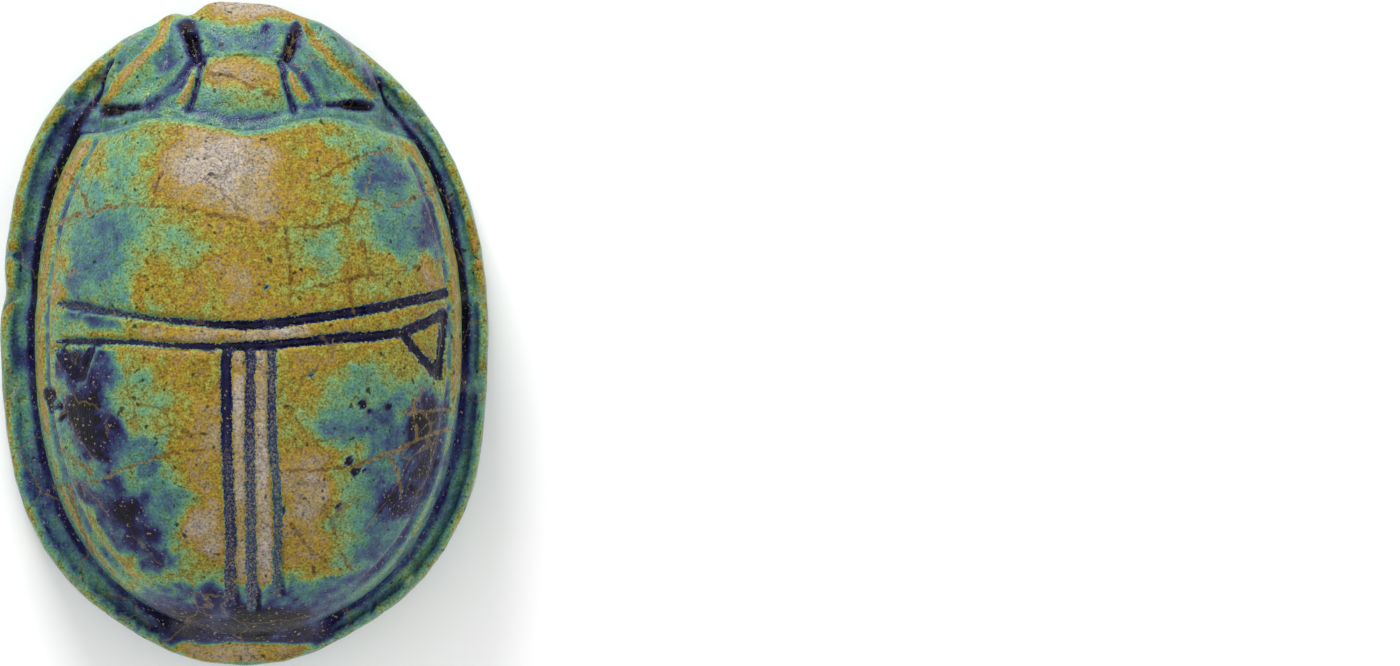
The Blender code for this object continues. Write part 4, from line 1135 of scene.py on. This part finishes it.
ragged_away = added(layer_value("crack_away"), mottling, 0.22)
crack = calc('MAXIMUM', crack, step_between(0.095, 0.035, ragged_away))
crack_colour = mix_colours(step_between(0.42, 0.66, thickness), srgb(104, 74, 20), srgb(138, 116, 66))
cracked = mix_colours(calc('MULTIPLY', crack, 0.82), glaze_colour, crack_colour)

# %% [markdown]
# ## Specks, silt and gloss
#
# Seen close, old glaze is full of specks: dark grit, pale specks that are partly crumbs of stone
# showing through and partly painted glints, and dust settled in the cuts. All are noise, cut off
# at a level so that only its peaks show. Thick glaze still shines, thin worn glaze is dull, and a
# faint bump gives both their rough touch.

# %% Specks and grains
dark_specks = step_between(0.13, 0.22, noise_of(0.085, 1.0, 0.5, shift=41.0))
spots = step_between(0.19, 0.24, noise_of(0.20, 1.0, 0.5, shift=47.0))
pale_crumbs_and_glints = step_between(0.15, 0.22, noise_of(0.075, 1.0, 0.5, shift=57.0))
in_dark = step_between(0.60, 0.80, thickness)
speck_share = calc('MULTIPLY', dark_specks, added(0.55, in_dark, -0.45))
speckled = mix_colours(speck_share, cracked, srgb(72, 54, 34))
speckled = mix_colours(calc('MULTIPLY', spots, 0.8), speckled, srgb(24, 20, 18))
pepper = calc('MULTIPLY', step_between(0.0, 0.09, added(crumbs, grain, 0.8)), in_dark)
pepper_strength = added(0.6, layer_value("seal_side"), -0.45)
speckled = mix_colours(calc('MULTIPLY', pepper, pepper_strength), speckled, srgb(8, 7, 14))
# Pale specks: partly crumbs of stone, partly painted glints, more of them in the dark glossy glaze.
crumb_and_glint_share = calc('MULTIPLY', pale_crumbs_and_glints, added(0.25, in_dark, 0.35))
speckled = mix_colours(crumb_and_glint_share, speckled, srgb(166, 150, 116))
silt = calc('MULTIPLY', in_line, step_between(-0.01, 0.07, added(grain, mottling, 0.4)))
silt = calc('MULTIPLY', silt, step_between(0.84, 0.76, layer_value("line_glaze")))
speckled = mix_colours(calc('MULTIPLY', silt, 0.55), speckled, srgb(136, 130, 106))
brightness = 1.0
for layer, strength in ((mottling, 0.9), (grain, 2.2), (crumbs, 1.3)):
    brightness = added(brightness, layer, strength)
varied = add_node('ShaderNodeHueSaturation', [("Value", brightness), ("Color", speckled)])
links.new(varied.outputs[0], shader.inputs["Base Color"])

# %% Gloss and fine relief
glossy = step_between(0.05, 0.50, thickness)
roughness = added(added(0.50, glossy, -0.28), mottling, 0.4, clamp=True)
links.new(roughness, shader.inputs["Roughness"])
shader.inputs["IOR"].default_value = 1.5
shader.inputs["Specular IOR Level"].default_value = 0.14
relief_height = added(added(calc('MULTIPLY', grain, 0.7), mottling, 0.8), crack, -0.35)
bump = add_node('ShaderNodeBump', [("Strength", 0.8), ("Distance", 0.04 * MM), ("Height", relief_height)])
links.new(bump.outputs[0], shader.inputs["Normal"])
amulet.data.materials.append(skin)
bpy.ops.object.select_all(action='DESELECT')
amulet.select_set(True)
bpy.context.view_layer.objects.active = amulet
bpy.ops.object.shade_smooth()
print("material of %d nodes" % len(nodes))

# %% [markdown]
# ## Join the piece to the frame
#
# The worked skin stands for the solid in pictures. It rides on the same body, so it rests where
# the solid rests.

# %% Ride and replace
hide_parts("scarab")
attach(amulet, "root")

# %% [markdown]
# ## Floor and light
#
# The floor is a large pale sheet of paper in a white room. The room alone would light the amulet
# evenly and flatten it, so a soft lamp on the head side adds shape and gloss.

# %% Floor
FLOOR_SIZE = 1.2
bpy.ops.object.select_all(action='DESELECT')
bpy.ops.mesh.primitive_plane_add(size=FLOOR_SIZE, location=(0.0, 0.0, 0.0))
floor = bpy.context.object
floor.name = "floor"
paper = bpy.data.materials.new("pale_paper")
paper.use_nodes = True
paper_shader = paper.node_tree.nodes["Principled BSDF"]
paper_shader.inputs["Base Color"].default_value = (0.9, 0.9, 0.9, 1.0)
paper_shader.inputs["Roughness"].default_value = 0.9
floor.data.materials.append(paper)


# %% Lamps and surroundings
def add_lamp(name, place, width, watts):
    """Square lamp that looks at the amulet."""
    bpy.ops.object.light_add(type='AREA', location=place)
    lamp = bpy.context.object
    lamp.name = name
    lamp.data.size = width
    lamp.data.energy = watts
    lamp.rotation_euler = (-Vector(place)).to_track_quat('-Z', 'Y').to_euler()


HEAD_SIDE, TAIL_SIDE = (-0.06, 0.25, 0.13), (0.12, -0.22, 0.22)
ROOM_STRENGTH = 0.9

add_lamp("lamp_head_side", HEAD_SIDE, width=0.11, watts=0.85)
add_lamp("lamp_tail_side", TAIL_SIDE, width=0.20, watts=0.20)
world = bpy.data.worlds.new("pale_room")
bpy.context.scene.world = world
world.use_nodes = True
background = world.node_tree.nodes["Background"]
background.inputs["Color"].default_value = (1.0, 1.0, 1.0, 1.0)
background.inputs["Strength"].default_value = ROOM_STRENGTH
